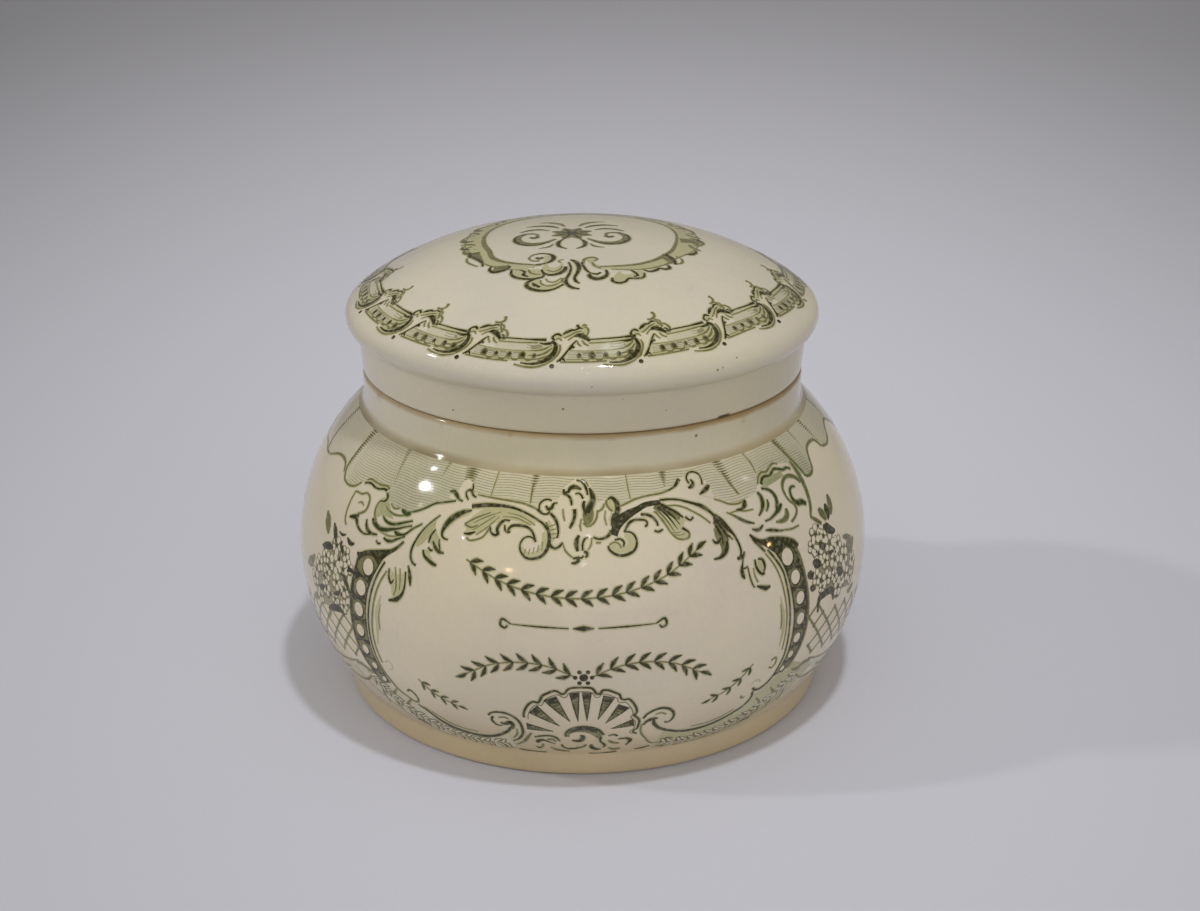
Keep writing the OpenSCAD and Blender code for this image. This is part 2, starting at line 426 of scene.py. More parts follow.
def inkPaint(tone):
    def paint(tree, at):
        # greener where the print took more of its colour, at the left shoulder and the right volute
        p = prints
        share = p["groundShare"] if tone in ("wash", "hatch") else p["greenShare"]
        left = times(tree, near(tree, at, *p["greenLeft"]), p["leftShare"])
        much = worked(tree, "MAXIMUM", left, near(tree, at, *p["greenRight"]))
        much = times(tree, much, patchy(tree, at, p["greenScale"], 2, 0.25, 0.6, *p["greenUneven"]))
        rgb = mixed(tree, much, printColours[tone], mixed(tree, share, printColours[tone], p["green"]))
        # darker towards the right, and worn thin in tiny spots
        heavy = times(tree, across(tree, placeOn(tree, at)["X"], p["darkerRightAt"]), p["heavy"])
        rgb = mixed(tree, heavy, rgb, printColours["ink"])
        worn = patchy(tree, at, p["wornScale"], 2, 0.45, 0.75, 0.0, p["worn"])
        return mixed(tree, worn, rgb, glaze["cream"])
    return paint


jarBody.data.materials.append(glazed("jarGlaze", jarPaint))
lidBody.data.materials.append(glazed("lidGlaze", lidPaint))
printMaterials = {tone: glazed(tone + "Print", inkPaint(tone)) for tone in printColours}
printMaterials["line"] = printMaterials["ink"]
printMaterials["cover"] = printMaterials["bare"] = glazed("bareGlaze", lambda tree, at: glaze["cream"])
print("materials mixed")

# The printed ornament: drawn on the unrolled pot and laid on the glaze as thin films of ink.
# Belly points are (degrees round from the front, mm up the wall from its widest line), and
# dome points (degrees round from the front, mm down the dome from its top).

films = dict(   # mm above the glaze, and mm by which the print bleeds past a stroke
    wash=(0.006, 0), hatch=(0.009, 0), cover=(0.012, 0), pale=(0.015, 0),
    mid=(0.019, 0.3), ink=(0.023, 0.4), bare=(0.028, 0), line=(0.033, 0.2),
)
grain = 0.7     # longest side of a film's facets, mm
nib = dict(thinnest=0.05, heavy=0.45, core=0.62, coreMore=0.08)      # mm, and the dark core's share


def onBelly(angle, along, lift=0.0):
    turn, rise = np.radians(angle), along / jar["bellyArc"]
    arc = jar["bellyArc"] + lift
    r = jar["bellyCentre"][0] + arc * np.cos(rise)
    z = jar["bellyCentre"][1] + arc * np.sin(rise)
    normal = np.stack([np.cos(rise) * np.sin(turn), -np.cos(rise) * np.cos(turn), np.sin(rise)], -1)
    return np.stack([r * np.sin(turn), -r * np.cos(turn), z], -1), normal


crownAt, slopeAt, noseAt = lidCircles()
crownTilt = math.radians(90 - toward(crownAt, slopeAt))     # how far each arc leans from level
slopeTilt = math.radians(90 - toward(slopeAt, noseAt))
crownRun = lid["crownArc"] * crownTilt
slopeRun = crownRun + lid["shoulderArc"] * (slopeTilt - crownTilt)


def onDome(angle, along, lift=0.0):
    turn = np.radians(angle)
    zone = [along <= crownRun, along <= slopeRun]
    arc = np.select(zone, [lid["crownArc"], lid["shoulderArc"]], lid["noseArc"])
    tilt = np.select(zone, [along / arc, crownTilt + (along - crownRun) / arc],
                     slopeTilt + (along - slopeRun) / arc)
    r = np.select(zone, [crownAt[0], slopeAt[0]], noseAt[0]) + (arc + lift) * np.sin(tilt)
    z = np.select(zone, [crownAt[1], slopeAt[1]], noseAt[1]) + (arc + lift) * np.cos(tilt)
    normal = np.stack([np.sin(tilt) * np.sin(turn), -np.sin(tilt) * np.cos(turn), np.cos(tilt)], -1)
    return np.stack([r * np.sin(turn), -r * np.cos(turn), z], -1), normal


def onCrown(x, y, lift=0.0):
    return onDome(np.degrees(np.arctan2(x, -y)), np.hypot(x, y), lift)


def bellyDegree(along):      # mm to a degree round the belly
    return (jar["bellyCentre"][0] + jar["bellyArc"] * np.cos(along / jar["bellyArc"])) * math.pi / 180


def domeDegree(along):
    return np.abs(along) * 0.965 * math.pi / 180


def crownDegree(y):
    return np.ones_like(y, dtype=float)


belly = dict(place=onBelly, degree=bellyDegree)
dome = dict(place=onDome, degree=domeDegree)
crown = dict(place=onCrown, degree=crownDegree)
sheets = {}          # name of the print: its films, with the points, normals and faces drawn so far
pen = dict(sheet="", surface=belly, turn=0.0)


def addFilm(tone, spots, faces):
    drawnOn = sheets.setdefault(pen["sheet"], {})
    film = drawnOn.setdefault(tone, dict(points=[], normals=[], faces=[], count=0))
    points, normals = pen["surface"]["place"](spots[:, 0] + pen["turn"], spots[:, 1], films[tone][0])
    for face in faces:
        corners = list(dict.fromkeys(int(c) for c in face))
        a, b, c = points[corners[:3]]
        if np.dot(np.cross(b - a, c - b), normals[corners[0]]) < 0:     # it would face the pot
            corners.reverse()
        film["faces"].append([c + film["count"] for c in corners])
    film["points"].append(points)
    film["normals"].append(normals)
    film["count"] += len(points)


def gridFaces(rows, cols):
    corner = (np.arange(rows - 1)[:, None] * cols + np.arange(cols - 1)[None]).ravel()
    return np.stack([corner, corner + 1, corner + cols + 1, corner + cols], -1)


def degreeAt(along):
    return float(pen["surface"]["degree"](np.array(along, float)))


def flat(points):
    # Given points in mm both ways
    p = np.array(points, float)
    return p * [degreeAt(p[:, 1].mean()), 1.0]


def runAlong(line):
    return np.concatenate([[0], np.cumsum(np.linalg.norm(np.diff(line, axis=0), axis=1))])


def smooth(points, step=grain):
    # A smooth line through given points, and where each sample lies among them
    p = np.array(points, float)
    scale = np.array([degreeAt(p[:, 1].mean()), 1.0])
    q = p * scale
    if len(q) == 2:
        t = np.linspace(0, 1, max(1, math.ceil(np.linalg.norm(q[1] - q[0]) / step)) + 1)
        return p[0] + (p[1] - p[0]) * t[:, None], t
    ends = np.vstack([2 * q[0] - q[1], q, 2 * q[-1] - q[-2]])
    out, when = [], []
    for i in range(len(q) - 1):
        a, b, c, d = ends[i:i + 4]
        tb, tc, td = np.cumsum([max(1e-3, np.linalg.norm(v) ** 0.5) for v in (b - a, c - b, d - c)])
        count = max(3, math.ceil(np.linalg.norm(c - b) / step))
        t = np.linspace(0, 1, count + 1)
        t = t[:-1] if i < len(q) - 2 else t
        u = (tb + (tc - tb) * t)[:, None]
        ab = a * (tb - u) / tb + b * u / tb
        bc = b * (tc - u) / (tc - tb) + c * (u - tb) / (tc - tb)
        cd = c * (td - u) / (td - tc) + d * (u - tc) / (td - tc)
        abc = ab * (tc - u) / tc + bc * u / tc
        bcd = bc * (td - u) / (td - tb) + cd * (u - tb) / (td - tb)
        out.append(abc * (tc - u) / (tc - tb) + bcd * (u - tb) / (tc - tb))
        when.append(i + t)
    return np.vstack(out) / scale, np.concatenate(when)


def band(tone, path, width):
    # A strip along a path, as wide as the list of widths says
    degree = pen["surface"]["degree"](path[:, 1])
    ahead = np.gradient(np.stack([path[:, 0] * degree.mean(), path[:, 1]], -1), axis=0)
    ahead /= np.maximum(np.linalg.norm(ahead, axis=1), 1e-6)[:, None]
    side = np.stack([ahead[:, 1] / degree, -ahead[:, 0]], -1)
    rows = max(1, math.ceil(width.max() / grain))
    spread = np.linspace(-0.5, 0.5, rows + 1)
    grid = path[:, None] + side[:, None] * (width[:, None] * spread[None])[..., None]
    addFilm(tone, grid.reshape(-1, 2), gridFaces(len(path), rows + 1))


def stroke(tone, widths, points, bleed=True):
    # A pen stroke whose width in mm changes along it. Heavy ones are softer at their edges.
    path, when = smooth(points)
    widths = np.atleast_1d(np.array(widths, float))
    width = np.interp(when, np.linspace(0, len(points) - 1, len(widths)), widths)
    width = np.maximum(width, nib["thinnest"])
    if bleed and films[tone][1]:
        band("pale", path, width + films[tone][1])
    if tone == "ink" and width.max() > nib["heavy"]:
        band("mid", path, width)
        width = np.minimum(width, nib["core"] * width + nib["coreMore"])
    band(tone, path, width)


def crisp(tone, widths, points):
    stroke(tone, widths, points, False)


def flipped(points, side):
    return [(side * a, s) for a, s in points]


def drawn(strokes, place=lambda points: points):
    for tone, widths, points in strokes:
        stroke(tone, widths, place(points))


def fill(tone, oneSide, otherSide):
    # A patch between two smooth edges that run the same way
    edges = [smooth(side, 0.3)[0] for side in (oneSide, otherSide)]
    runs = [runAlong(flat(edge)) for edge in edges]
    count = max(2, math.ceil(max(run[-1] for run in runs) / grain))
    rows = []
    for edge, run in zip(edges, runs):
        at = np.linspace(0, run[-1], count + 1)
        rows.append(np.stack([np.interp(at, run, edge[:, 0]), np.interp(at, run, edge[:, 1])], -1))
    gap = (rows[1] - rows[0]) * [degreeAt(rows[0][:, 1].mean()), 1]
    wide = max(1, math.ceil(np.linalg.norm(gap, axis=1).max() / grain))
    t = np.linspace(0, 1, wide + 1)[None, :, None]
    grid = rows[0][:, None] * (1 - t) + rows[1][:, None] * t
    addFilm(tone, grid.reshape(-1, 2), gridFaces(count + 1, wide + 1))


def filled(patches, place=lambda points: points):
    for tone, oneSide, otherSide in patches:
        fill(tone, place(oneSide), place(otherSide))


def dot(tone, at, r, tall=1.0, sides=14):
    # A round or oval spot
    rings = max(1, math.ceil(r * max(1, tall) / grain))
    degree = degreeAt(at[1])
    angle = np.linspace(0, tau, sides, endpoint=False)
    spots, faces = [np.array([at], float)], []
    for ring in range(1, rings + 1):
        x, y = r * ring / rings * np.cos(angle), r * tall * ring / rings * np.sin(angle)
        spots.append(np.stack([at[0] + x / degree, at[1] + y], -1))
    for i in range(sides):
        j = (i + 1) % sides
        faces.append((0, 1 + i, 1 + j))
        for ring in range(rings - 1):
            a, b = 1 + ring * sides, 1 + (ring + 1) * sides
            faces.append((a + i, b + i, b + j, a + j))
    addFilm(tone, np.vstack(spots), faces)


def leaf(tone, at, length, turn, fat, bleed=True):
    # A pointed leaf from its foot at a place, turned from the way to the right
    degree = degreeAt(at[1])
    way = np.array([math.cos(turn) / degree, math.sin(turn)]) * length
    bend = np.array([-math.sin(turn) / degree, math.cos(turn)]) * 0.08 * length
    points = [np.array(at), np.array(at) + way * 0.5 + bend, np.array(at) + way]
    stroke(tone, (0.12, 0.8 * fat, fat, 0.6 * fat, 0.06), points, bleed)


def heading(steps, i, j):
    return math.atan2(*(steps[j] - steps[i])[::-1])


def branch(p):
    # Pairs of leaves along a stem
    line = smooth(p["path"], 0.2)[0]
    steps = flat(line)
    run = runAlong(steps)
    spread = math.radians(p["spread"])
    for k in range(p["pairs"]):
        i = min(len(run) - 2, int(np.searchsorted(run, run[-1] * (k + 0.3) / p["pairs"])))
        for side in (-1, 1):
            leaf("ink", line[i], p["leaf"], heading(steps, i, i + 1) + side * spread, p["fat"])
    leaf("ink", line[-1], p["leaf"], heading(steps, -2, -1), p["fat"])
    stroke("mid", (0.2, 0.25, 0.15), p["path"])


# Scrolls over the cartouche, left half: tone, widths in mm, points
crestLeft = [
    ("ink", (.2, .3, .3, .25), [(-38, 19.2), (-36, 19.8), (-34, 20.7), (-32, 21.8), (-30, 22.3),
        (-27.5, 22.9)]),
    ("mid", (.2, .3, .3, .35), [(-23, 24.5), (-19, 24.35), (-15, 24.2), (-12, 23.9), (-9.5, 23.2),
        (-8.5, 22.8)]),
    ("ink", (.7, .75, .5, .35, .35, .5), [(-23.6, 22.5), (-21, 23), (-18, 23.25), (-15, 23.2), (-12, 22.6),
        (-9.5, 21.7), (-8, 21), (-7.1, 20.2)]),
    ("ink", (.2, .8, 1.05, 1, .7, .4, .3, .2), [(-23.3, 21.9), (-25, 21.4), (-26.5, 20.6), (-27.7, 19.6),
        (-28.5, 18.3), (-28.6, 17.3), (-28, 16.8), (-27, 16.7)]),
    ("ink", (.5, .6, .6, .5, .45, .35, .3, .25, .25, .2), [(-7.2, 20.5), (-6.7, 19.5), (-6.6, 18.3),
        (-7, 17), (-8, 16), (-9.5, 15.55), (-11, 15.7), (-12, 16.6), (-12.2, 17.6), (-11.7, 18.5),
        (-10.7, 18.9), (-9.8, 18.7), (-9.2, 18.1)]),
    ("ink", (.3, .4, .5, .45, .35), [(-9.2, 18.1), (-9.6, 19), (-10.2, 19.8), (-11.2, 20.35),
        (-12.5, 20.5), (-14, 20.4), (-14.6, 20.1), (-14.9, 19.6), (-14.5, 19.2)]),
    ("ink", (.25, .5, .55, .5, .4, .25), [(-14.8, 21.1), (-16, 21.05), (-16.9, 20.3), (-17.2, 19.5),
        (-16.9, 18.9), (-17.5, 18.6), (-18.4, 19), (-18.7, 19.8)]),
    ("ink", (.2, .35, .25), [(-15.8, 20.4), (-15.5, 19.5), (-14.8, 19.2)]),
    ("mid", (.3, .25, .25, .3), [(-18.7, 19.9), (-19.2, 18.9), (-20, 18), (-21.2, 17.5), (-22.5, 17.25),
        (-23.3, 17.6)]),
    ("ink", (.2, .55, .2), [(-21.6, 18.7), (-22.8, 18.25), (-24, 18.15)]),
    ("mid", (.2, .3, .3), [(-21.4, 19.8), (-22.6, 19.25), (-24.2, 19.6)]),
    ("mid", (.25, .3, .2), [(-24.2, 19.6), (-22.5, 20.6), (-21, 21.3), (-19.2, 22)]),
    ("mid", (.12, .2, .12), [(-22.2, 18.9), (-20.2, 20.2), (-18, 21.6)]),
    ("mid", (.12, .2, .12), [(-21.4, 18.2), (-19.4, 19.6), (-17.2, 21.5)]),
    ("mid", (.12, .2, .12), [(-22.4, 20), (-20, 21.2), (-17, 22.3)]),
    ("mid", (.1, .18, .12), [(-16.5, 21.6), (-13.5, 21.6), (-10.5, 20.7)]),
    ("mid", (.1, .18, .12), [(-15.5, 22.3), (-12.5, 21.9), (-9.6, 20.7)]),
    # leaves that hang beside the cartouche
    ("ink", (.15, .25, .3, .35, .4, .4, .3), [(-30, 20.2), (-31.5, 18.9), (-33, 17.3), (-34, 15.6),
        (-34.6, 13.8), (-34.3, 12.4), (-33.6, 11.8), (-32.9, 11.6)]),
    ("ink", (.2, .4, .4, .2), [(-30.2, 17.9), (-30.9, 16.8), (-31.1, 15.5)]),
    ("ink", (.3, .6, .75, .2), [(-30.2, 16), (-29.5, 15.2), (-28.5, 14.65), (-27.3, 14.5)]),
    ("ink", (.2, .35, .2), [(-28.9, 16.5), (-28.7, 15.7), (-28.3, 15)]),
    ("ink", (.3, .5, .65, .65, .3), [(-32, 14.3), (-31.4, 13.4), (-30.3, 12.9), (-29.2, 12.5),
        (-28.4, 12.4)]),
    ("ink", (.2, .35, .2), [(-31, 14.9), (-30.3, 14.5), (-29.8, 14.6)]),
    ("ink", (.2, .55, .75, .2), [(-34.7, 11.3), (-34.1, 10.3), (-33.8, 9.3), (-33.5, 8.1)]),
    ("ink", (.3, .35, .55, .9, .3), [(-35, 10.2), (-34.8, 8), (-35.2, 6.5), (-36.5, 5.3), (-38.4, 4.7)]),
    ("ink", (.2, .55, .45, .15), [(-39, 9.9), (-38.8, 8.6), (-38.1, 7.6), (-37.5, 8.4)]),
    ("mid", (.15, .3, .3, .2), [(-37.6, 10.4), (-37, 8.6), (-36.8, 7), (-37.2, 5.8)]),
    ("mid", (.15, .25, .2), [(-36.4, 10.4), (-36, 8.6), (-35.9, 7)]),
    # outer acanthus
    ("ink", (.3, .75, .7, .3), [(-39.7, 19.35), (-38.8, 19.1), (-37.9, 18.9), (-37, 19.2)]),
    ("mid", (.3, .35, .3), [(-53, 21.4), (-52, 21.8), (-50, 21.75), (-48, 21.7), (-46, 21.95),
        (-45.1, 21.6)]),
    ("ink", (.35, .4, .35, .35, .45), [(-53.3, 20.7), (-52.2, 21.1), (-51, 21.2), (-49.5, 20.95),
        (-48, 21), (-46.8, 21.3), (-45.5, 21.3)]),
    ("ink", (.45, .5, .45, .25), [(-45.3, 21), (-44.6, 20.3), (-45, 19.6), (-46.2, 19.4)]),
    ("mid", (.3, .35, .35, .3), [(-46.2, 19.4), (-46.7, 18.4), (-46.4, 17.1), (-45.4, 16.2)]),
    ("ink", (.3, .95, .8, .75, .65, .5, .35, .25, .2), [(-46.6, 16.35), (-45.8, 15.9), (-44.8, 15.45),
        (-43.3, 15.25), (-41.8, 15.5), (-40.5, 15.9), (-39, 16.3), (-37.5, 16.9), (-35.8, 17.4)]),
    ("ink", (.2, .45, .5, .4, .2), [(-44, 17.4), (-43, 16.85), (-41.5, 16.6), (-40, 16.8), (-38.3, 17.4),
        (-36, 18.2)]),
    ("ink", (.2, .75, .5, .35, .3, .15), [(-39.8, 15.75), (-39, 15.5), (-38, 15.5), (-37, 15.8),
        (-35.5, 17), (-33.5, 18.2)]),
    ("ink", (.25, .6, .75, .5, .2), [(-48.1, 15.8), (-47.7, 14.9), (-46.8, 14.2), (-45.5, 14),
        (-43.9, 14.2)]),
    ("ink", (.3, .55, .4, .2), [(-42.1, 14.15), (-41, 13.9), (-39.8, 14.1), (-38.6, 14.7), (-36.8, 15.5)]),
    ("ink", (.9, .8, .5, .4, .3, .2), [(-51.6, 15.4), (-51, 14.8), (-50.2, 14.1), (-49, 13.6),
        (-47.5, 13.45), (-45.8, 13.8)]),
    ("ink", (.2, .7, .9, .5), [(-53.8, 14.7), (-52.7, 15), (-51.6, 15.3), (-50.8, 15.8)]),
    ("mid", (.25, .3, .35, .4, .4, .3), [(-55, 18.9), (-52.5, 19), (-51, 19.5), (-49.8, 19.2),
        (-49.2, 18.2), (-49.3, 17), (-50.3, 16.3), (-51.5, 15.8)]),
    ("mid", (.15, .25, .2), [(-52.6, 17.4), (-51.5, 17.8), (-50.5, 17.5)]),
    ("mid", (.3, .35, .3), [(-54.9, 18.8), (-55.3, 17), (-55.2, 15), (-54.8, 13.8), (-53.9, 13.2)]),
    ("mid", (.15, .3, .15), [(-44.2, 19), (-42.6, 18.4), (-40.5, 18.2), (-38, 18.7)]),
    ("mid", (.15, .25, .15), [(-43, 19.6), (-41.6, 19.1), (-40.3, 19.4)]),
    ("mid", (.1, .2, .1), [(-43.8, 14.9), (-41, 14.7), (-38.8, 15.1)]),
    ("ink", (.2, .35, .2), [(-43.9, 13.3), (-43.2, 12.95), (-42.4, 13.1)]),
    ("ink", (.35, .5, .5, .5, .5, .5, .4), [(-36.8, 14.7), (-37.5, 13.9), (-38.4, 13.2), (-39.5, 12.6),
        (-41, 12.2), (-42.5, 11.8), (-44.5, 11.3), (-46, 10.8), (-47.3, 10.2), (-48.4, 10)]),
]
# the tie between scroll and palmette, and the two leaf buds that stand on the scrolls
tieLeft = [
    ("ink", (.4, .5, .4, .35, .3), [(-6.7, 22.7), (-5.7, 21.9), (-5.1, 20.9), (-4.9, 19.8), (-5.1, 18.9)]),
    ("mid", (.3, .3, .3), [(-7.5, 21.3), (-7, 20.6), (-6.6, 19.6)]),
    ("ink", (.5, .5, .4, .4, .3), [(-6.7, 18.3), (-6.2, 17.6), (-5.4, 17.3), (-4.6, 17.6), (-3.9, 18.3)]),
    ("ink", (.25, .3, .3, .25), [(-9.1, 23.2), (-9.1, 24.1), (-8.3, 24.75), (-7.3, 24.9), (-6.6, 24.7)]),
    ("ink", (.3, .5, .55, .4, .2), [(-7.8, 23.9), (-7.2, 23.3), (-6.5, 23.6), (-6.2, 24.2), (-5.3, 24.4)]),
    ("ink", (.4, .3, .3, .35), [(-9.4, 23.15), (-8.4, 22.6), (-7.4, 22.55), (-6.8, 23)]),
    ("ink", (.25, .65, .65, .4, .15), [(-29.7, 24.15), (-28.7, 24.3), (-27.8, 23.85), (-27, 23.3),
        (-25.9, 23)]),
    ("ink", (.2, .4, .5, .4, .2), [(-25.9, 24.4), (-25.3, 25), (-24.6, 24.9), (-24, 24.3), (-23.1, 24)]),
    ("ink", (.2, .3, .15), [(-25.8, 24.5), (-25.4, 23.9), (-24.7, 23.4)]),
    ("ink", (.15, .3, .3), [(-24.9, 26.2), (-24.5, 25.5), (-24.5, 24.9)]),
]
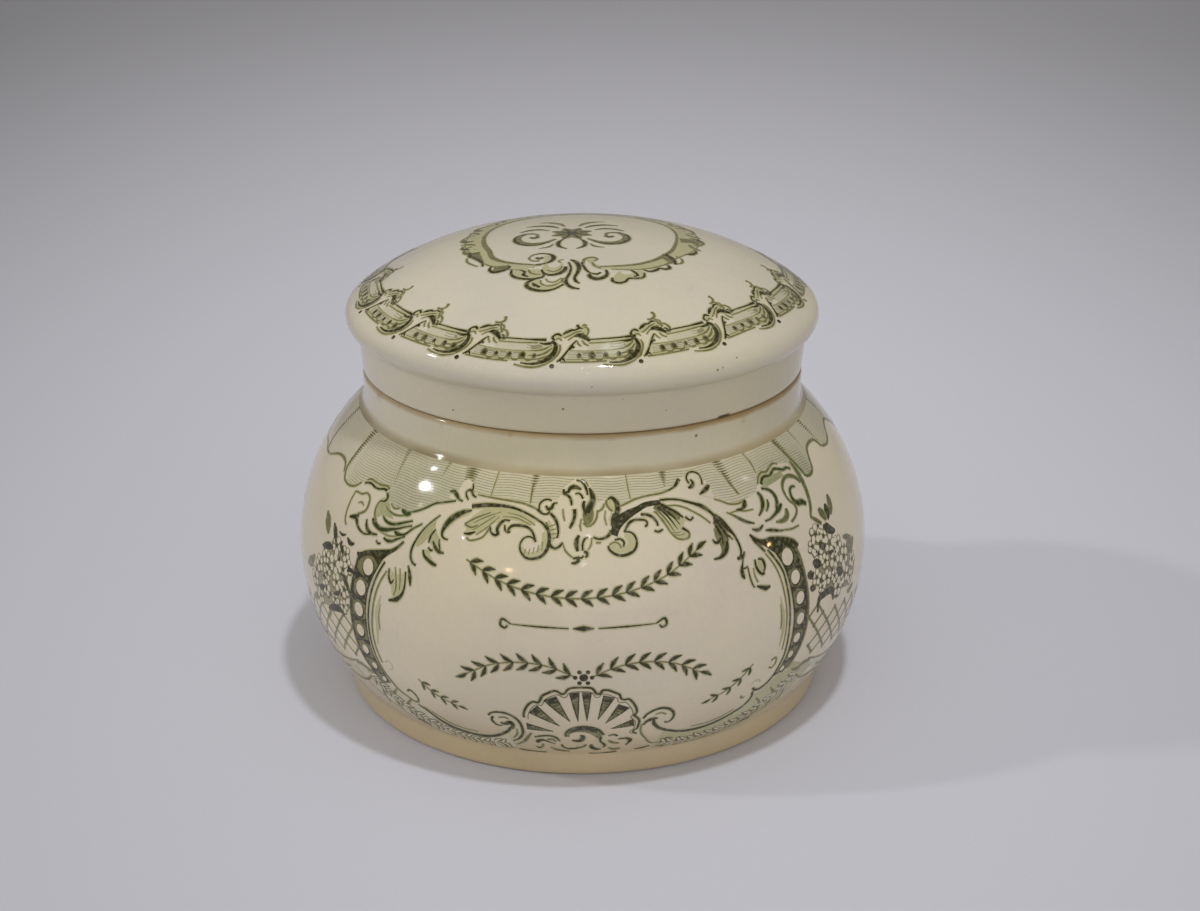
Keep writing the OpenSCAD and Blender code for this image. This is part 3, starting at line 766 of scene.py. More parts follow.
crestRight = [
    ("mid", (.25, .3, .3, .3), [(7.6, 23.7), (9, 24.1), (11, 24.7), (13, 25), (15, 25.15), (17, 25.25),
        (19, 25.6)]),
    ("ink", (.25, .4, .55, .4, .2), [(18.8, 25.55), (20.3, 26), (21.2, 26.6), (21.7, 27.1), (22, 26.7)]),
    ("ink", (.4, .35, .35, .4, .5), [(16.3, 24.15), (18.5, 24.1), (20.5, 23.8), (22.5, 23.2), (24, 22.7)]),
    ("ink", (.4, .65, .7, .5, .5), [(23.5, 22.8), (24.8, 22.4), (25.8, 21.8), (26.8, 21), (27.4, 20.3)]),
    ("ink", (.8, .6, .45, .4, .4, .3), [(27.4, 20.3), (28.6, 19.5), (29.8, 18), (30.7, 16.6), (31.3, 15),
        (31.4, 14), (31.1, 13.2)]),
    ("mid", (.2, .25, .25, .25), [(17.5, 23.1), (19.5, 23), (21.5, 22.4), (23, 21.6), (24.5, 20.7),
        (26.2, 19.3)]),
    ("ink", (.4, .3, .25), [(21, 21), (22, 20.35), (22.8, 20.8)]),
    ("ink", (.5, .4, .35), [(19.9, 19.35), (20.6, 18.95), (21.2, 18.5)]),
    ("ink", (.7, .6, .45, .3), [(16.4, 23.4), (18, 22.6), (19.5, 21.8), (20.6, 20.9)]),
    ("ink", (.5, .45, .3, .12), [(16, 23.2), (17.6, 22.1), (18.8, 21), (19.6, 19.9)]),
    ("ink", (.4, .35, .25, .1), [(15.6, 23.1), (17, 21.9), (18, 20.7), (18.9, 19.3)]),
    ("mid", (.35, .3, .25, .1), [(15.2, 22.9), (16.4, 21.6), (17.4, 20.3), (18.2, 18.9)]),
    ("mid", (.3, .25, .2, .1), [(15, 22.5), (15.8, 21.3), (16.8, 19.9), (17.6, 18.8)]),
    ("mid", (.1, .14, .1), [(17.6, 18.9), (18.6, 18.7), (19.6, 18.8)]),
    ("mid", (.1, .14, .1), [(18, 18.5), (19.2, 18.3), (20.4, 18.4)]),
    ("mid", (.35, .3, .25, .25, .2), [(21.2, 18.5), (21, 17.8), (20, 17.6), (18.7, 17.8), (17.6, 18.7),
        (16.9, 19.8), (16.2, 21), (15.3, 22), (14.6, 22.5)]),
    ("ink", (.3, .45, .35, .3, .3), [(8.1, 19.6), (8.6, 20.3), (9.3, 21.05), (10.3, 21.4), (11.5, 21.4),
        (12.5, 21.25), (12.9, 20.9), (12.8, 20.45), (12.3, 20.25)]),
    ("ink", (.4, .5, .5, .4, .3), [(11.8, 22.2), (13, 22.1), (14.2, 21.6), (14.9, 20.8), (15, 20.1)]),
    ("ink", (.3, .4, .2), [(14.1, 19.5), (15, 19.25), (16, 19.6)]),
    ("ink", (.25, .3, .35, .4, .5, .5, .45, .4, .3), [(8.3, 19.7), (9.3, 19.6), (10.1, 19), (10.4, 18),
        (9.9, 16.9), (8.7, 16.3), (7.3, 16.1), (6, 16.4), (5, 17.1), (4.8, 17.7)]),
    ("ink", (.3, .35, .3), [(6.1, 18.5), (7.2, 18.65), (7.9, 18.1), (7.7, 17.4)]),
    ("mid", (.2, .25, .2), [(5, 17.8), (6, 18.2), (6.9, 17.9), (7.3, 17.2)]),
    ("ink", (.3, .35, .4, .5, .7), [(1.9, 19.1), (2.8, 18.8), (4, 18.85), (5, 19.3), (5.7, 20)]),
    ("ink", (.25, .6, .9, .9, .5), [(5.2, 24.9), (6, 25.2), (6.9, 24.6), (7.2, 23.6), (6.9, 22.6),
        (6.2, 21.6)]),
    ("ink", (.5, .5, .5), [(6.4, 22.6), (5.9, 21.7), (5.9, 20.7)]),
    ("mid", (.3, .35, .3), [(5, 24.9), (4.9, 24.2), (5.4, 23.5), (6.1, 23)]),
    ("mid", (.2, .3, .2), [(4.5, 24.3), (4, 23.5), (3.1, 23)]),
    ("mid", (.12, .2, .12), [(4.6, 23.2), (4.4, 22), (4.7, 20.8)]),
    # bud on the scroll
    ("ink", (.35, .3, .3, .3, .3, .25), [(23.9, 26.1), (23.7, 27.1), (24.6, 27.85), (25.9, 27.9),
        (26.9, 27.4), (27.2, 26.5), (26.9, 25.5)]),
    ("ink", (.25, .7, .5, .2), [(23.4, 25.4), (24.3, 25.6), (24.9, 26.1), (24.5, 26.8)]),
    ("ink", (.15, .6, .85, .5), [(25.5, 24.05), (26.6, 24.4), (27.6, 24.8), (28.5, 25.3)]),
    ("mid", (.2, .25, .3, .25), [(28.5, 22.9), (30, 22.3), (31.5, 21.6), (33, 21.3), (34.5, 21.3),
        (35.8, 21.6)]),
    ("ink", (.2, .5, .95, .4), [(32.8, 20.4), (34.3, 20.3), (35.2, 20.8), (35.7, 21.5)]),
    # acanthus on the right
    ("ink", (.35, .7, .8, .7, .4, .15), [(39.6, 22.1), (40, 21.2), (39.9, 20.3), (39.4, 19.5),
        (38.6, 18.9), (37.7, 18.4)]),
    ("ink", (.3, .4, .5, .6, .6, .7, .4), [(41, 22.4), (42.3, 22), (43.3, 21.4), (43.8, 20.5),
        (43.7, 19.6), (43.2, 18.8), (42.7, 18.1)]),
    ("ink", (.2, .8, .85, .5, .3, .2), [(44.8, 18.95), (43.9, 18.6), (43, 18.2), (42.2, 17.9),
        (40.5, 17.4), (38.8, 17.3)]),
    ("mid", (.4, .95, .85, .6, .2), [(45.4, 18), (45.2, 17.1), (44.3, 16.5), (43, 16.4), (41.5, 16.6)]),
    ("ink", (.15, .35, .3, .15), [(41.3, 20.5), (41.2, 19.8), (40.6, 19.1), (39.9, 18.7)]),
    ("ink", (.6, .5, .4, .4, .45, .4, .35), [(41.6, 23), (42.3, 23.7), (43.5, 24), (45, 23.8), (46, 24.15),
        (47.2, 24.5), (48.5, 24.2), (49.8, 23.8), (51.2, 23.8), (52.3, 23.3)]),
    ("mid", (.2, .3, .3, .3, .2), [(40.6, 23.2), (41.7, 24.3), (43.2, 24.8), (44.6, 24.6), (46.2, 25.1),
        (47.8, 25.4), (49.2, 25)]),
    ("mid", (.5, .8, .85, .7, .6, .4), [(53.5, 24.5), (53.8, 22.5), (53.9, 20.5), (53.6, 18.5),
        (52.9, 16.5), (51.8, 15)]),
    ("mid", (.4, .4, .5, .5, .6, .6, .4), [(46.8, 20), (46.8, 21), (47.6, 21.9), (49, 22.5), (50.8, 22.4),
        (52.3, 21.7), (53.1, 20.6)]),
    ("ink", (.6, .95, .95, .65, .5, .4, .3, .25), [(51.9, 17.1), (50.7, 17.8), (49.5, 17.9), (48.6, 18.5),
        (48.3, 19.4), (48.7, 20.3), (49.6, 20.7), (50.8, 20.5)]),
    ("mid", (.3, .35, .4, .35, .3), [(46.7, 20), (47.2, 18.9), (48.2, 18), (48.3, 17), (47.3, 16.2),
        (45.6, 15.6)]),
    ("mid", (.15, .3, .5, .45, .2), [(30.3, 20.4), (31.5, 19.8), (33, 18.9), (34.5, 18.1), (36.2, 17.5)]),
    ("ink", (.1, .45, .45, .15), [(32, 19.4), (33, 18.85), (34.4, 18.1), (36, 17.6)]),
    ("mid", (.12, .25, .15), [(31, 20.1), (33, 20.2), (35, 19.8), (37, 19.7)]),
    ("ink", (.2, .55, .5, .2), [(35.1, 16.8), (36.2, 16.4), (37.2, 16.5), (38.1, 16.9)]),
    ("ink", (.15, .5, .45, .15), [(38.2, 15.95), (39.5, 15.7), (41, 15.3), (42.7, 14.9)]),
    ("mid", (.15, .25, .15), [(42.5, 15), (45, 14.6), (47.5, 14.6)]),
    ("ink", (.3, .65, .5, .5, .5, .7, .7, .65, .8, .6), [(34.2, 16.1), (35, 15.3), (36, 14.8),
        (37.3, 14.45), (38.7, 14.5), (40, 14.2), (41.7, 13.8), (43.3, 13.3), (44.6, 12.6), (45.6, 11.6)]),
    # leaves that hang beside the cartouche
    ("ink", (.6, .7, .6, .3), [(27.2, 20.2), (28.6, 19), (29.7, 17.7), (30.9, 16.5)]),
    ("ink", (.5, .6, .5, .2), [(27.2, 19.8), (28.2, 18.4), (28.9, 17.2), (29.1, 16)]),
    ("ink", (.3, .45, .4, .15), [(26.9, 19.4), (27.5, 18), (27.9, 16.8), (27.8, 15.6)]),
    ("mid", (.2, .35, .3, .12), [(26.7, 18.4), (26.8, 17.4), (27.1, 16.6), (27.2, 15.8)]),
    ("ink", (.2, .5, .5, .2), [(25.7, 16.8), (26.3, 16.15), (27, 16.2), (27.6, 16.7)]),
    ("ink", (.5, .8, .85, .6, .2), [(28.8, 16), (28.5, 15.1), (27.9, 14.4), (26.8, 13.8), (25.2, 13.7)]),
    ("ink", (.15, .35, .15), [(29, 17.2), (29.6, 16.6), (30.2, 16)]),
    ("ink", (.4, .7, .6, .2), [(30.2, 12.95), (31, 13), (31.7, 13.2), (32.1, 13.8)]),
    ("ink", (.2, .25, .7, .75, .2), [(31.6, 13), (31.2, 12), (30.8, 11), (30.9, 10.1), (31.2, 9.5)]),
    ("ink", (.15, .3, .15), [(30.9, 11.3), (31.6, 11.2), (32.3, 11.4)]),
    ("ink", (.2, .25, .25, .2), [(32.2, 11.2), (32.3, 10), (32.5, 9), (32.8, 8.2), (33.2, 7.7)]),
    ("ink", (.2, .65, .85, .3), [(33.6, 7.9), (34.7, 7.45), (35.7, 7.1), (36.8, 7.2)]),
    ("ink", (.3, .5, .5, .4), [(34.1, 12.1), (34.1, 11), (34.6, 10), (35.3, 9.5), (35.9, 9.6)]),
    ("ink", (.3, .5, .5, .3), [(34.8, 12), (35.7, 11.8), (36.1, 11), (36, 10.3), (35.5, 9.7)]),
    ("ink", (.3, .85, .6, .2), [(34.3, 16), (35.1, 15), (36.1, 13.7), (36.9, 12.7)]),
    ("mid", (.15, .25, .2), [(33.4, 10.9), (33.5, 9.6), (34, 8.4)]),
]
palmette = [
    ("ink", (.3, .8, .95, 1.1, 1.2, .8), [(1.35, 26.9), (1.9, 26), (2.1, 25), (1.7, 24.2), (1.2, 23.5),
        (.9, 22.8)]),
    ("mid", (1.5, 1.7, 1.4, .6), [(1.1, 23.4), (1.05, 22.5), (.95, 21.7), (.9, 21)]),
    ("mid", (.25, .3, .3, .25), [(3, 23.3), (2.7, 22), (1.9, 21.1), (.9, 20.75), (0, 21.3)]),
    ("ink", (.35, .6, .45, .35), [(.3, 24.8), (.1, 24.1), (.3, 23.2), (.7, 22.4)]),
    ("ink", (.3, .7, .85, .6, .2), [(-3.2, 26.1), (-2.8, 26.8), (-2, 27.05), (-1.1, 26.9), (-.3, 26.6)]),
    ("ink", (.2, .3, .3, .3), [(-1.7, 25.9), (-.9, 26), (-.3, 25.6), (0, 25.1)]),
    ("ink", (.25, .35, .4, .3), [(-1.5, 28.2), (-.5, 28), (.3, 27.4), (.8, 26.5), (1, 25.7)]),
    ("mid", (.15, .3, .2), [(-.4, 28.4), (.5, 28), (1.2, 27.1)]),
    ("ink", (.3, .55, .45, .45, .4, .25), [(-4.2, 26.7), (-4.1, 26), (-3.4, 25.7), (-2.8, 25.3),
        (-2.5, 24.7), (-2.4, 24)]),
    ("ink", (.2, .4, .2), [(-4.1, 26), (-3.4, 26.2), (-2.9, 26.1)]),
    ("ink", (.6, .55, .5, .5, .3), [(-1.8, 23.5), (-1.7, 22.6), (-1.9, 21.7), (-2.3, 21), (-2.7, 20.4)]),
    ("mid", (.15, .25, .15), [(-4.2, 23.5), (-4, 22.4), (-3.7, 21.5)]),
    ("mid", (.15, .25, .15), [(-.3, 22), (-.6, 20.9), (-.4, 20)]),
    ("ink", (.35, .7, .75, .4), [(-.8, 19.4), (-1.2, 18.7), (-1.3, 17.9), (-1.05, 16.9)]),
    ("ink", (.2, .35, .35, .25), [(1, 19.1), (.3, 18.8), (-.1, 18), (-.1, 17)]),
    ("ink", (.4, .5, .35, .2), [(.1, 16.9), (.7, 16.7), (.7, 16.2), (.3, 16)]),
    ("ink", (.3, .45, .55, .5, .2), [(-1.9, 15.8), (-1.1, 15.9), (-.9, 15.5), (-1.5, 15.15), (-2.3, 15.1)]),
    ("ink", (.2, .3, .2), [(-1.1, 16.1), (-.4, 15.9), (.1, 16.3)]),
    ("mid", (.15, .25, .25, .15), [(-3.9, 18), (-3.4, 17), (-2.4, 16.2), (-1.7, 15.8)]),
    ("mid", (.15, .2, .15), [(1.7, 19), (1.5, 17.9), (.9, 17.1)]),
    ("mid", (.15, .25, .15), [(2.4, 18.2), (3.5, 18.2)]),
]

# Frame of the cartouche, with its scrolls below
cartouche = [
    ("ink", (.35, .4, .4, .4, .35), [(-40.3, 10.6), (-41.8, 8), (-42.9, 5), (-43.5, 2), (-43.7, -1),
        (-43.5, -4), (-43, -6.5)]),
    ("mid", (.3, .35, .35, .3), [(-39.5, 9.3), (-41, 6.8), (-42, 4), (-42.5, 1), (-42.7, -2), (-42.3, -5),
        (-41.4, -7.6)]),
    ("pale", (.3, .9, .7, .3), [(-40.3, 5), (-41.2, 2), (-41.2, -1), (-41.6, -4)]),
    ("mid", (.1, .25, .2), [(-40.4, 3.5), (-40.8, 1), (-40.6, -1)]),
    ("pale", (.2, .3, .3, .25), [(-40.6, -7.3), (-39.7, -6.7), (-38.8, -7.1), (-38.9, -8.1),
        (-39.9, -8.4)]),
    ("mid", (.45, .55, .55, .5, .4), [(-43, -6.5), (-42, -9), (-40.5, -11), (-39, -12.7), (-37, -13.7),
        (-35.5, -14.3), (-34.6, -14)]),
    ("ink", (.25, .4, .4, .3), [(-36.6, -12.2), (-35.8, -11.6), (-34.9, -12), (-34.3, -13), (-34.5, -14)]),
    ("ink", (.4, .6, .8, .9, .9, .8, .7, .65, .5), [(-35, -14.8), (-33, -15.8), (-31.5, -17), (-30, -18),
        (-28, -18.8), (-25.5, -19.3), (-22.5, -19.4), (-20, -19.1), (-18, -18.4), (-16.3, -17.3),
        (-15, -16.2), (-14.4, -15.2)]),
    ("mid", (.2, .3, .3, .2), [(-33.6, -15), (-31.2, -16), (-28.6, -17.4), (-25.5, -18.1), (-22, -18.2)]),
    ("ink", (.35, .35, .35, .35), [(37.5, 13), (39, 11), (40.3, 8.8), (40.9, 6), (41.3, 3), (41.4, 0),
        (41.3, -3), (41, -6)]),
    ("mid", (.2, .25, .25, .2), [(36.8, 12.5), (38.4, 10.3), (39.4, 8), (40.1, 5), (40.5, 2), (40.5, -1),
        (40, -5)]),
    ("pale", (.2, .8, .8, .3), [(39, 5), (39.5, 2), (39.6, -1), (39.1, -4)]),
    ("mid", (.1, .3, .2), [(38.9, 3.6), (39.2, 1.2), (39, -.8)]),
    ("ink", (.35, .5, .55, .55, .4), [(41, -6), (40, -8.5), (39, -10.2), (37.8, -11.3), (36.3, -11.9),
        (35, -11.7), (34.3, -11)]),
    ("pale", (.25, .35, .3), [(33.8, -10.2), (34.3, -9.6), (35.3, -9.6), (36, -10.3)]),
    ("mid", (.25, .35, .25), [(31.8, -12), (32.2, -12.7), (32.9, -12.6)]),
    ("mid", (.3, .3, .25), [(37.5, -6.3), (38.6, -6), (38.9, -7), (38.1, -7.9), (37.2, -7.5)]),
    ("ink", (.5, .6, .7, .75, .8, .7, .6), [(34.6, -12), (34.9, -13), (34.5, -14.2), (33.3, -15.3),
        (31.5, -16.2), (29.5, -17), (27, -17.7), (24, -18.1), (21, -18), (18.5, -17.4), (16.3, -16.5),
        (14.8, -15.7)]),
    ("mid", (.2, .3, .2), [(31.3, -15.2), (28.4, -16.3), (25.2, -16.9), (22, -16.9)]),
    # scrolls on both sides of the shell
    ("ink", (.3, .45, .5, .55, .5, .35), [(-18.6, -12.9), (-17.8, -12.1), (-16.3, -11.7), (-14.7, -11.8),
        (-13.3, -12.5), (-12.4, -13.6), (-12.1, -15), (-12.1, -16.3), (-12.6, -17.5), (-13.5, -18.6),
        (-14.7, -19.4)]),
    ("ink", (.35, .45, .4, .25), [(-17.6, -12.9), (-18, -13.7), (-17.7, -14.6), (-17, -15.1), (-16, -15)]),
    ("ink", (.4, .7, .95, .9, .6), [(-16.3, -14.2), (-15.7, -14.5), (-15, -14.3), (-14.3, -13.9),
        (-13.9, -14.5), (-14.2, -15.6)]),
    ("mid", (.2, .35, .2), [(-16.6, -13.1), (-15.4, -12.8), (-14.4, -13.1)]),
    ("mid", (.2, .35, .2), [(-13.2, -15.4), (-13.4, -17), (-14.4, -18.3)]),
    ("ink", (.4, .5, .55, .5, .4, .35), [(11.3, -12.7), (12, -11.7), (13.2, -11), (14.6, -10.7), (16, -11),
        (17, -11.8), (17.4, -12.8), (17.2, -13.8), (16.5, -14.4), (15.7, -14.2)]),
    ("ink", (.3, .6, .85, .6, .25), [(11.5, -14.4), (12, -13.6), (12.8, -13.2), (13.6, -13),
        (14.3, -13.1)]),
    ("ink", (.5, .7, .7, .6), [(13.5, -13.3), (13.6, -14.2), (14.2, -15), (14.9, -15.7), (16.3, -16.5)]),
    ("mid", (.2, .35, .2), [(13.6, -12), (14.8, -11.8), (15.9, -12.4)]),
    ("mid", (.3, .35, .35, .25), [(11.2, -14), (11.1, -15.5), (11.6, -17), (12.5, -18.3), (13.3, -19.5),
        (14.3, -20.3), (15.5, -20.4)]),
]

# The shell's edge, and the dark folds between its ribs: outer corners, foot
shellEdge = [(-11.4, -12.3), (-11.3, -11.2), (-10.8, -10), (-10, -8.9), (-9.2, -8.5), (-8.4, -8.6),
    (-8, -8), (-7.6, -7.2), (-6.5, -6.5), (-5.2, -6), (-4.6, -6.2), (-4, -6.6), (-3.4, -6.4), (-3, -5.8),
    (-2.4, -5.4), (0, -5.25), (1.4, -5.4), (1.9, -5.9), (2.3, -6.5), (3, -6.5), (3.4, -5.9), (4.4, -5.9),
    (5.6, -6.4), (6.5, -6.9), (6.8, -7.7), (7.4, -8), (8.2, -7.9), (9, -8.7), (9.7, -9.9), (9.9, -11),
    (9.5, -11.7), (10, -12.2), (10.6, -13), (10.5, -14.4), (10.4, -15), (9.8, -15.5), (9.7, -16),
    (10.5, -16.6)]
shellFolds = [((-11.1, -13.7), (-11.1, -15.2), (-5.9, -15.4)), ((-10.3, -10.9), (-8.7, -9.3),
    (-4.6, -13.9)), ((-7.3, -8), (-5.1, -7.1), (-2.6, -12.7)), ((-2.5, -6.4), (-.9, -6.2), (-1.1, -12.6)),
    ((-.2, -6.2), (1.3, -6.3), (.6, -12.5)), ((3.7, -6.9), (5.6, -7.4), (2.6, -12.3)), ((6.5, -8.9),
    (8.5, -9.8), (4.1, -13.2)), ((9.5, -12.6), (9.7, -14.2), (5.2, -14.7))]
shell = [
    ("ink", (.3, .5, .6, .5), [(-3.6, -16.8), (-3.6, -15.8), (-2.8, -14.8), (-1.5, -14.15), (0, -13.95),
        (1.5, -14.2), (2.8, -14.8), (3.5, -15.7), (3.9, -16.4)]),
    ("ink", (.5, .9, .95, .8, .4), [(-2.4, -17.8), (-1.6, -18.05), (-.7, -18), (-.3, -17.3), (-.2, -16.6),
        (-.8, -16.4)]),
    ("ink", (.45, .4, .5, .5, .3), [(3.4, -16.8), (3.3, -18.2), (3.9, -19), (4.3, -19.8), (3.9, -20.4)]),
    ("ink", (.35, .55, .7, .55, .4), [(-4.6, -19.3), (-4.2, -20.2), (-3.3, -20.7), (-2.2, -20.7),
        (-1.2, -20.4), (-.2, -20), (.5, -19.2)]),
    ("ink", (.4, .9, .9, .4), [(1.5, -19.2), (1.6, -20.2), (2.5, -20.9), (3.6, -21)]),
    ("ink", (.4, .5, .55, .5, .4), [(-9.9, -17.4), (-8.5, -16.9), (-7.2, -16.7), (-6.2, -16.8),
        (-5.4, -17.3), (-4.9, -18.3)]),
    ("ink", (.5, .95, .7, .4, .2), [(-9.6, -19.2), (-9.3, -18.6), (-8.7, -18.2), (-7.9, -18.2),
        (-7, -18.7), (-5.8, -19.2)]),
    ("mid", (.3, .5, .6, .4), [(-8.4, -19.3), (-8.6, -20.2), (-9.3, -20.9), (-10, -20.4)]),
    ("ink", (.4, .5, .4), [(4.8, -16.6), (6, -16.4), (6.7, -16.9)]),
    ("ink", (.35, .6, .85, .5, .3), [(6.9, -17.8), (8, -17.7), (9, -17.9), (9.4, -18.6), (9, -19.4),
        (8.7, -20)]),
    ("mid", (.4, .7, .4), [(-7.4, -17.9), (-6.3, -17.8), (-5.6, -18.5)]),
    ("mid", (.4, .7, .4), [(4.9, -18), (5.8, -18.8), (7.2, -19.2)]),
    ("mid", (.4, .7, .7, .4), [(-7, -20.4), (-5.8, -21.2), (-4.4, -21.6), (-3, -21.7)]),
    ("mid", (.4, .8, .5), [(5, -20.6), (6.2, -21.2), (7.6, -21)]),
    ("mid", (.3, .6, .6, .3), [(-10.4, -16.2), (-11.3, -17.6), (-12.4, -19.2), (-14.2, -20.6)]),
    ("ink", (.3, .6, .7, .4), [(-8, -22.5), (-10, -22.7), (-12, -22.6), (-14, -22.2)]),
    ("ink", (.3, .7, .8, .4), [(1, -22.5), (3, -22.8), (5, -22.6), (7, -22.1)]),
    ("ink", (.3, .6, .3), [(10.8, -21.9), (12.5, -21.7), (14, -21.2)]),
    ("mid", (.3, .7, .3), [(16, -19.6), (17.3, -19.3), (18.8, -19.6)]),
]

# The two strings of beads: edges of the dark ground, width in degrees of the bare moulding outside it,
# then place and radius of each bead
beadStrings = [
    dict(
        outside=[(-47.6, 10.1), (-48.1, 7), (-48.5, 4), (-48.7, 1), (-48.6, -2), (-48.2, -5), (-47.2, -8),
            (-45.5, -10.5), (-43.5, -12.8)],
        moulding=0,
        inside=[(-40.8, 11.5), (-42.7, 8), (-43.8, 5.5), (-44.4, 2), (-44.4, -1), (-44.2, -4), (-43.5, -7),
            (-42.3, -9.5), (-40.8, -11.8)],
        beads=[(-44.5, 8.7, 1.45), (-45.9, 4.8, 1.4), (-46.4, .9, 1.3), (-46.4, -2.9, 1.15),
            (-45.8, -6.4, .95), (-44.2, -9.2, .75), (-42.4, -11.5, .6)],
    ),
    dict(
        outside=[(44.5, 12.2), (45.4, 10), (45.9, 7.5), (46.3, 5), (46.6, 2), (46.6, 0), (46.4, -3),
            (45.7, -5.5), (44.8, -7.5), (43.4, -9.6)],
        moulding=0.55,
        inside=[(39.3, 12.2), (40.9, 9.4), (41.7, 6.5), (42.2, 4), (42.6, 1), (42.6, -1), (42.3, -4),
            (41.8, -6.5), (40.8, -8.5), (39.5, -10.2)],
        beads=[(42.1, 10.7, 1.5), (43.4, 7, 1.25), (44.3, 3.2, 1.15), (44.4, -.5, 1.1), (43.9, -3.9, .95),
            (42.9, -6.8, .75), (41.4, -9.2, .6)],
    ),
]

# Curtain along the shoulder: its lower edge, and its folds
curtainTop = 28.8
curtainHem = [[(-92, 21), (-88, 20.2), (-84, 20), (-80, 20.2), (-77, 19.6), (-75, 19.9), (-73, 20.4),
    (-70, 21.5), (-67, 21.9), (-64.5, 21.6), (-63, 20.2), (-61.5, 19.2), (-58.5, 19), (-56, 19.4),
    (-54.2, 20.4), (-53, 21.4), (-50, 21.75), (-48, 21.7), (-45.3, 21.5), (-44.6, 19.8), (-42.5, 19.2),
    (-40, 19.2), (-38, 19.2)], [(-38, 19.2), (-36, 19.8), (-34, 20.7), (-32, 21.8), (-30, 22.3),
    (-27.5, 22.9), (-25, 23.8), (-23, 24.5), (-19, 24.35), (-15, 24.2), (-12, 23.9), (-9.4, 23.6),
    (-8.3, 24.75), (-6.6, 24.7), (-5, 24.4), (-3, 23), (0, 22), (3, 22.4), (5.6, 23.6), (7.6, 23.7)],
    [(7.6, 23.7), (9, 24.1), (11, 24.7), (13, 25), (15, 25.15), (17, 25.25), (19, 25.6), (21, 25.4),
    (24, 24.6), (26, 23.7), (28.5, 22.9), (30, 22.3), (31.5, 21.6), (33, 21.3), (36, 21.5), (39, 22)],
    [(39, 22), (40.6, 23.2), (41.7, 24.3), (43.2, 24.8), (44.6, 24.6), (46.2, 25.1), (47.8, 25.4),
    (49.2, 25), (52, 24.4), (53.6, 23), (55, 21.6), (57.5, 20.8), (59.5, 21.4), (61, 23.2), (63, 24.6),
    (66, 25), (68, 24.6), (69.4, 22.9), (72, 22.4), (76, 22.7), (80, 24), (84, 24.2), (88, 22.2),
    (90, 21.4)]]
# its folds, shaded with short level lines: place at the top, lean, reach down in mm, width
curtainFolds = [(-79, -.6, 8.6, 2.4), (-61.6, -.8, 8.8, 3), (-45.6, 1, 6.4, 1.6), (-32.5, -.6, 3, 1.2),
    (-19.6, -.4, 3.4, .8), (-10.7, -.5, 4.2, 2), (9.8, .3, 3, .7), (18.4, -.3, 3, 2), (32.8, 1.6, 6.2, 3),
    (41.2, .4, 3, 1), (52.8, 3, 7.6, 2.4), (60.5, .4, 4, 1.6), (68.2, 1.2, 5.6, 2.2), (84.8, .8, 5, 2)]
curtainLines = [
    ("mid", (.2, .5, .5, .4), [(-61.8, 28), (-62.4, 24.5), (-62.6, 21), (-61, 19.3)]),
    ("mid", (.35, .35, .4, .3), [(-61, 19.3), (-58.5, 19), (-56, 19.5), (-54.4, 20.6)]),
    ("mid", (.3, .4, .5, .4), [(-74.5, 20), (-73, 20.5), (-70, 21.5), (-67, 21.9), (-64.3, 21.5),
        (-62.7, 20.2)]),
    ("mid", (.3, .4, .5), [(-79.6, 25), (-79.4, 21.6), (-78, 19.9)]),
    ("mid", (.3, .35, .3), [(-90, 20.6), (-86, 20), (-82, 20.2), (-78, 19.8), (-75, 19.9)]),
    ("mid", (.12, .16, .12), [(-19.6, 28.7), (-19.8, 26.6), (-20, 24.6)]),
    ("mid", (.2, .25, .2), [(-11, 27.4), (-11.1, 26), (-11.1, 24.1)]),
    ("mid", (.12, .16, .12), [(9.8, 28.7), (9.9, 26.6), (10.1, 24.8)]),
    ("mid", (.15, .4, .3), [(33, 26.8), (33.6, 25), (34.8, 22.6)]),
    ("mid", (.12, .25, .12), [(41, 28.6), (41.7, 27), (41.6, 25)]),
    ("mid", (.4, .5, .5, .4), [(52.4, 28.6), (53, 27), (54, 25), (55.2, 22.8), (56, 21)]),
    ("mid", (.4, .45, .4, .45, .5, .4), [(56, 21), (57.8, 20.8), (59.6, 21.4), (60.9, 23.2), (62.6, 24.6),
        (65.6, 25), (68, 24.6), (69.3, 22.9)]),
    ("mid", (.35, .4, .4), [(69.6, 22.8), (73, 22.3), (76.4, 22.8), (79.8, 24), (84, 24.1), (87.6, 22.2),
        (90.4, 21.2)]),
]

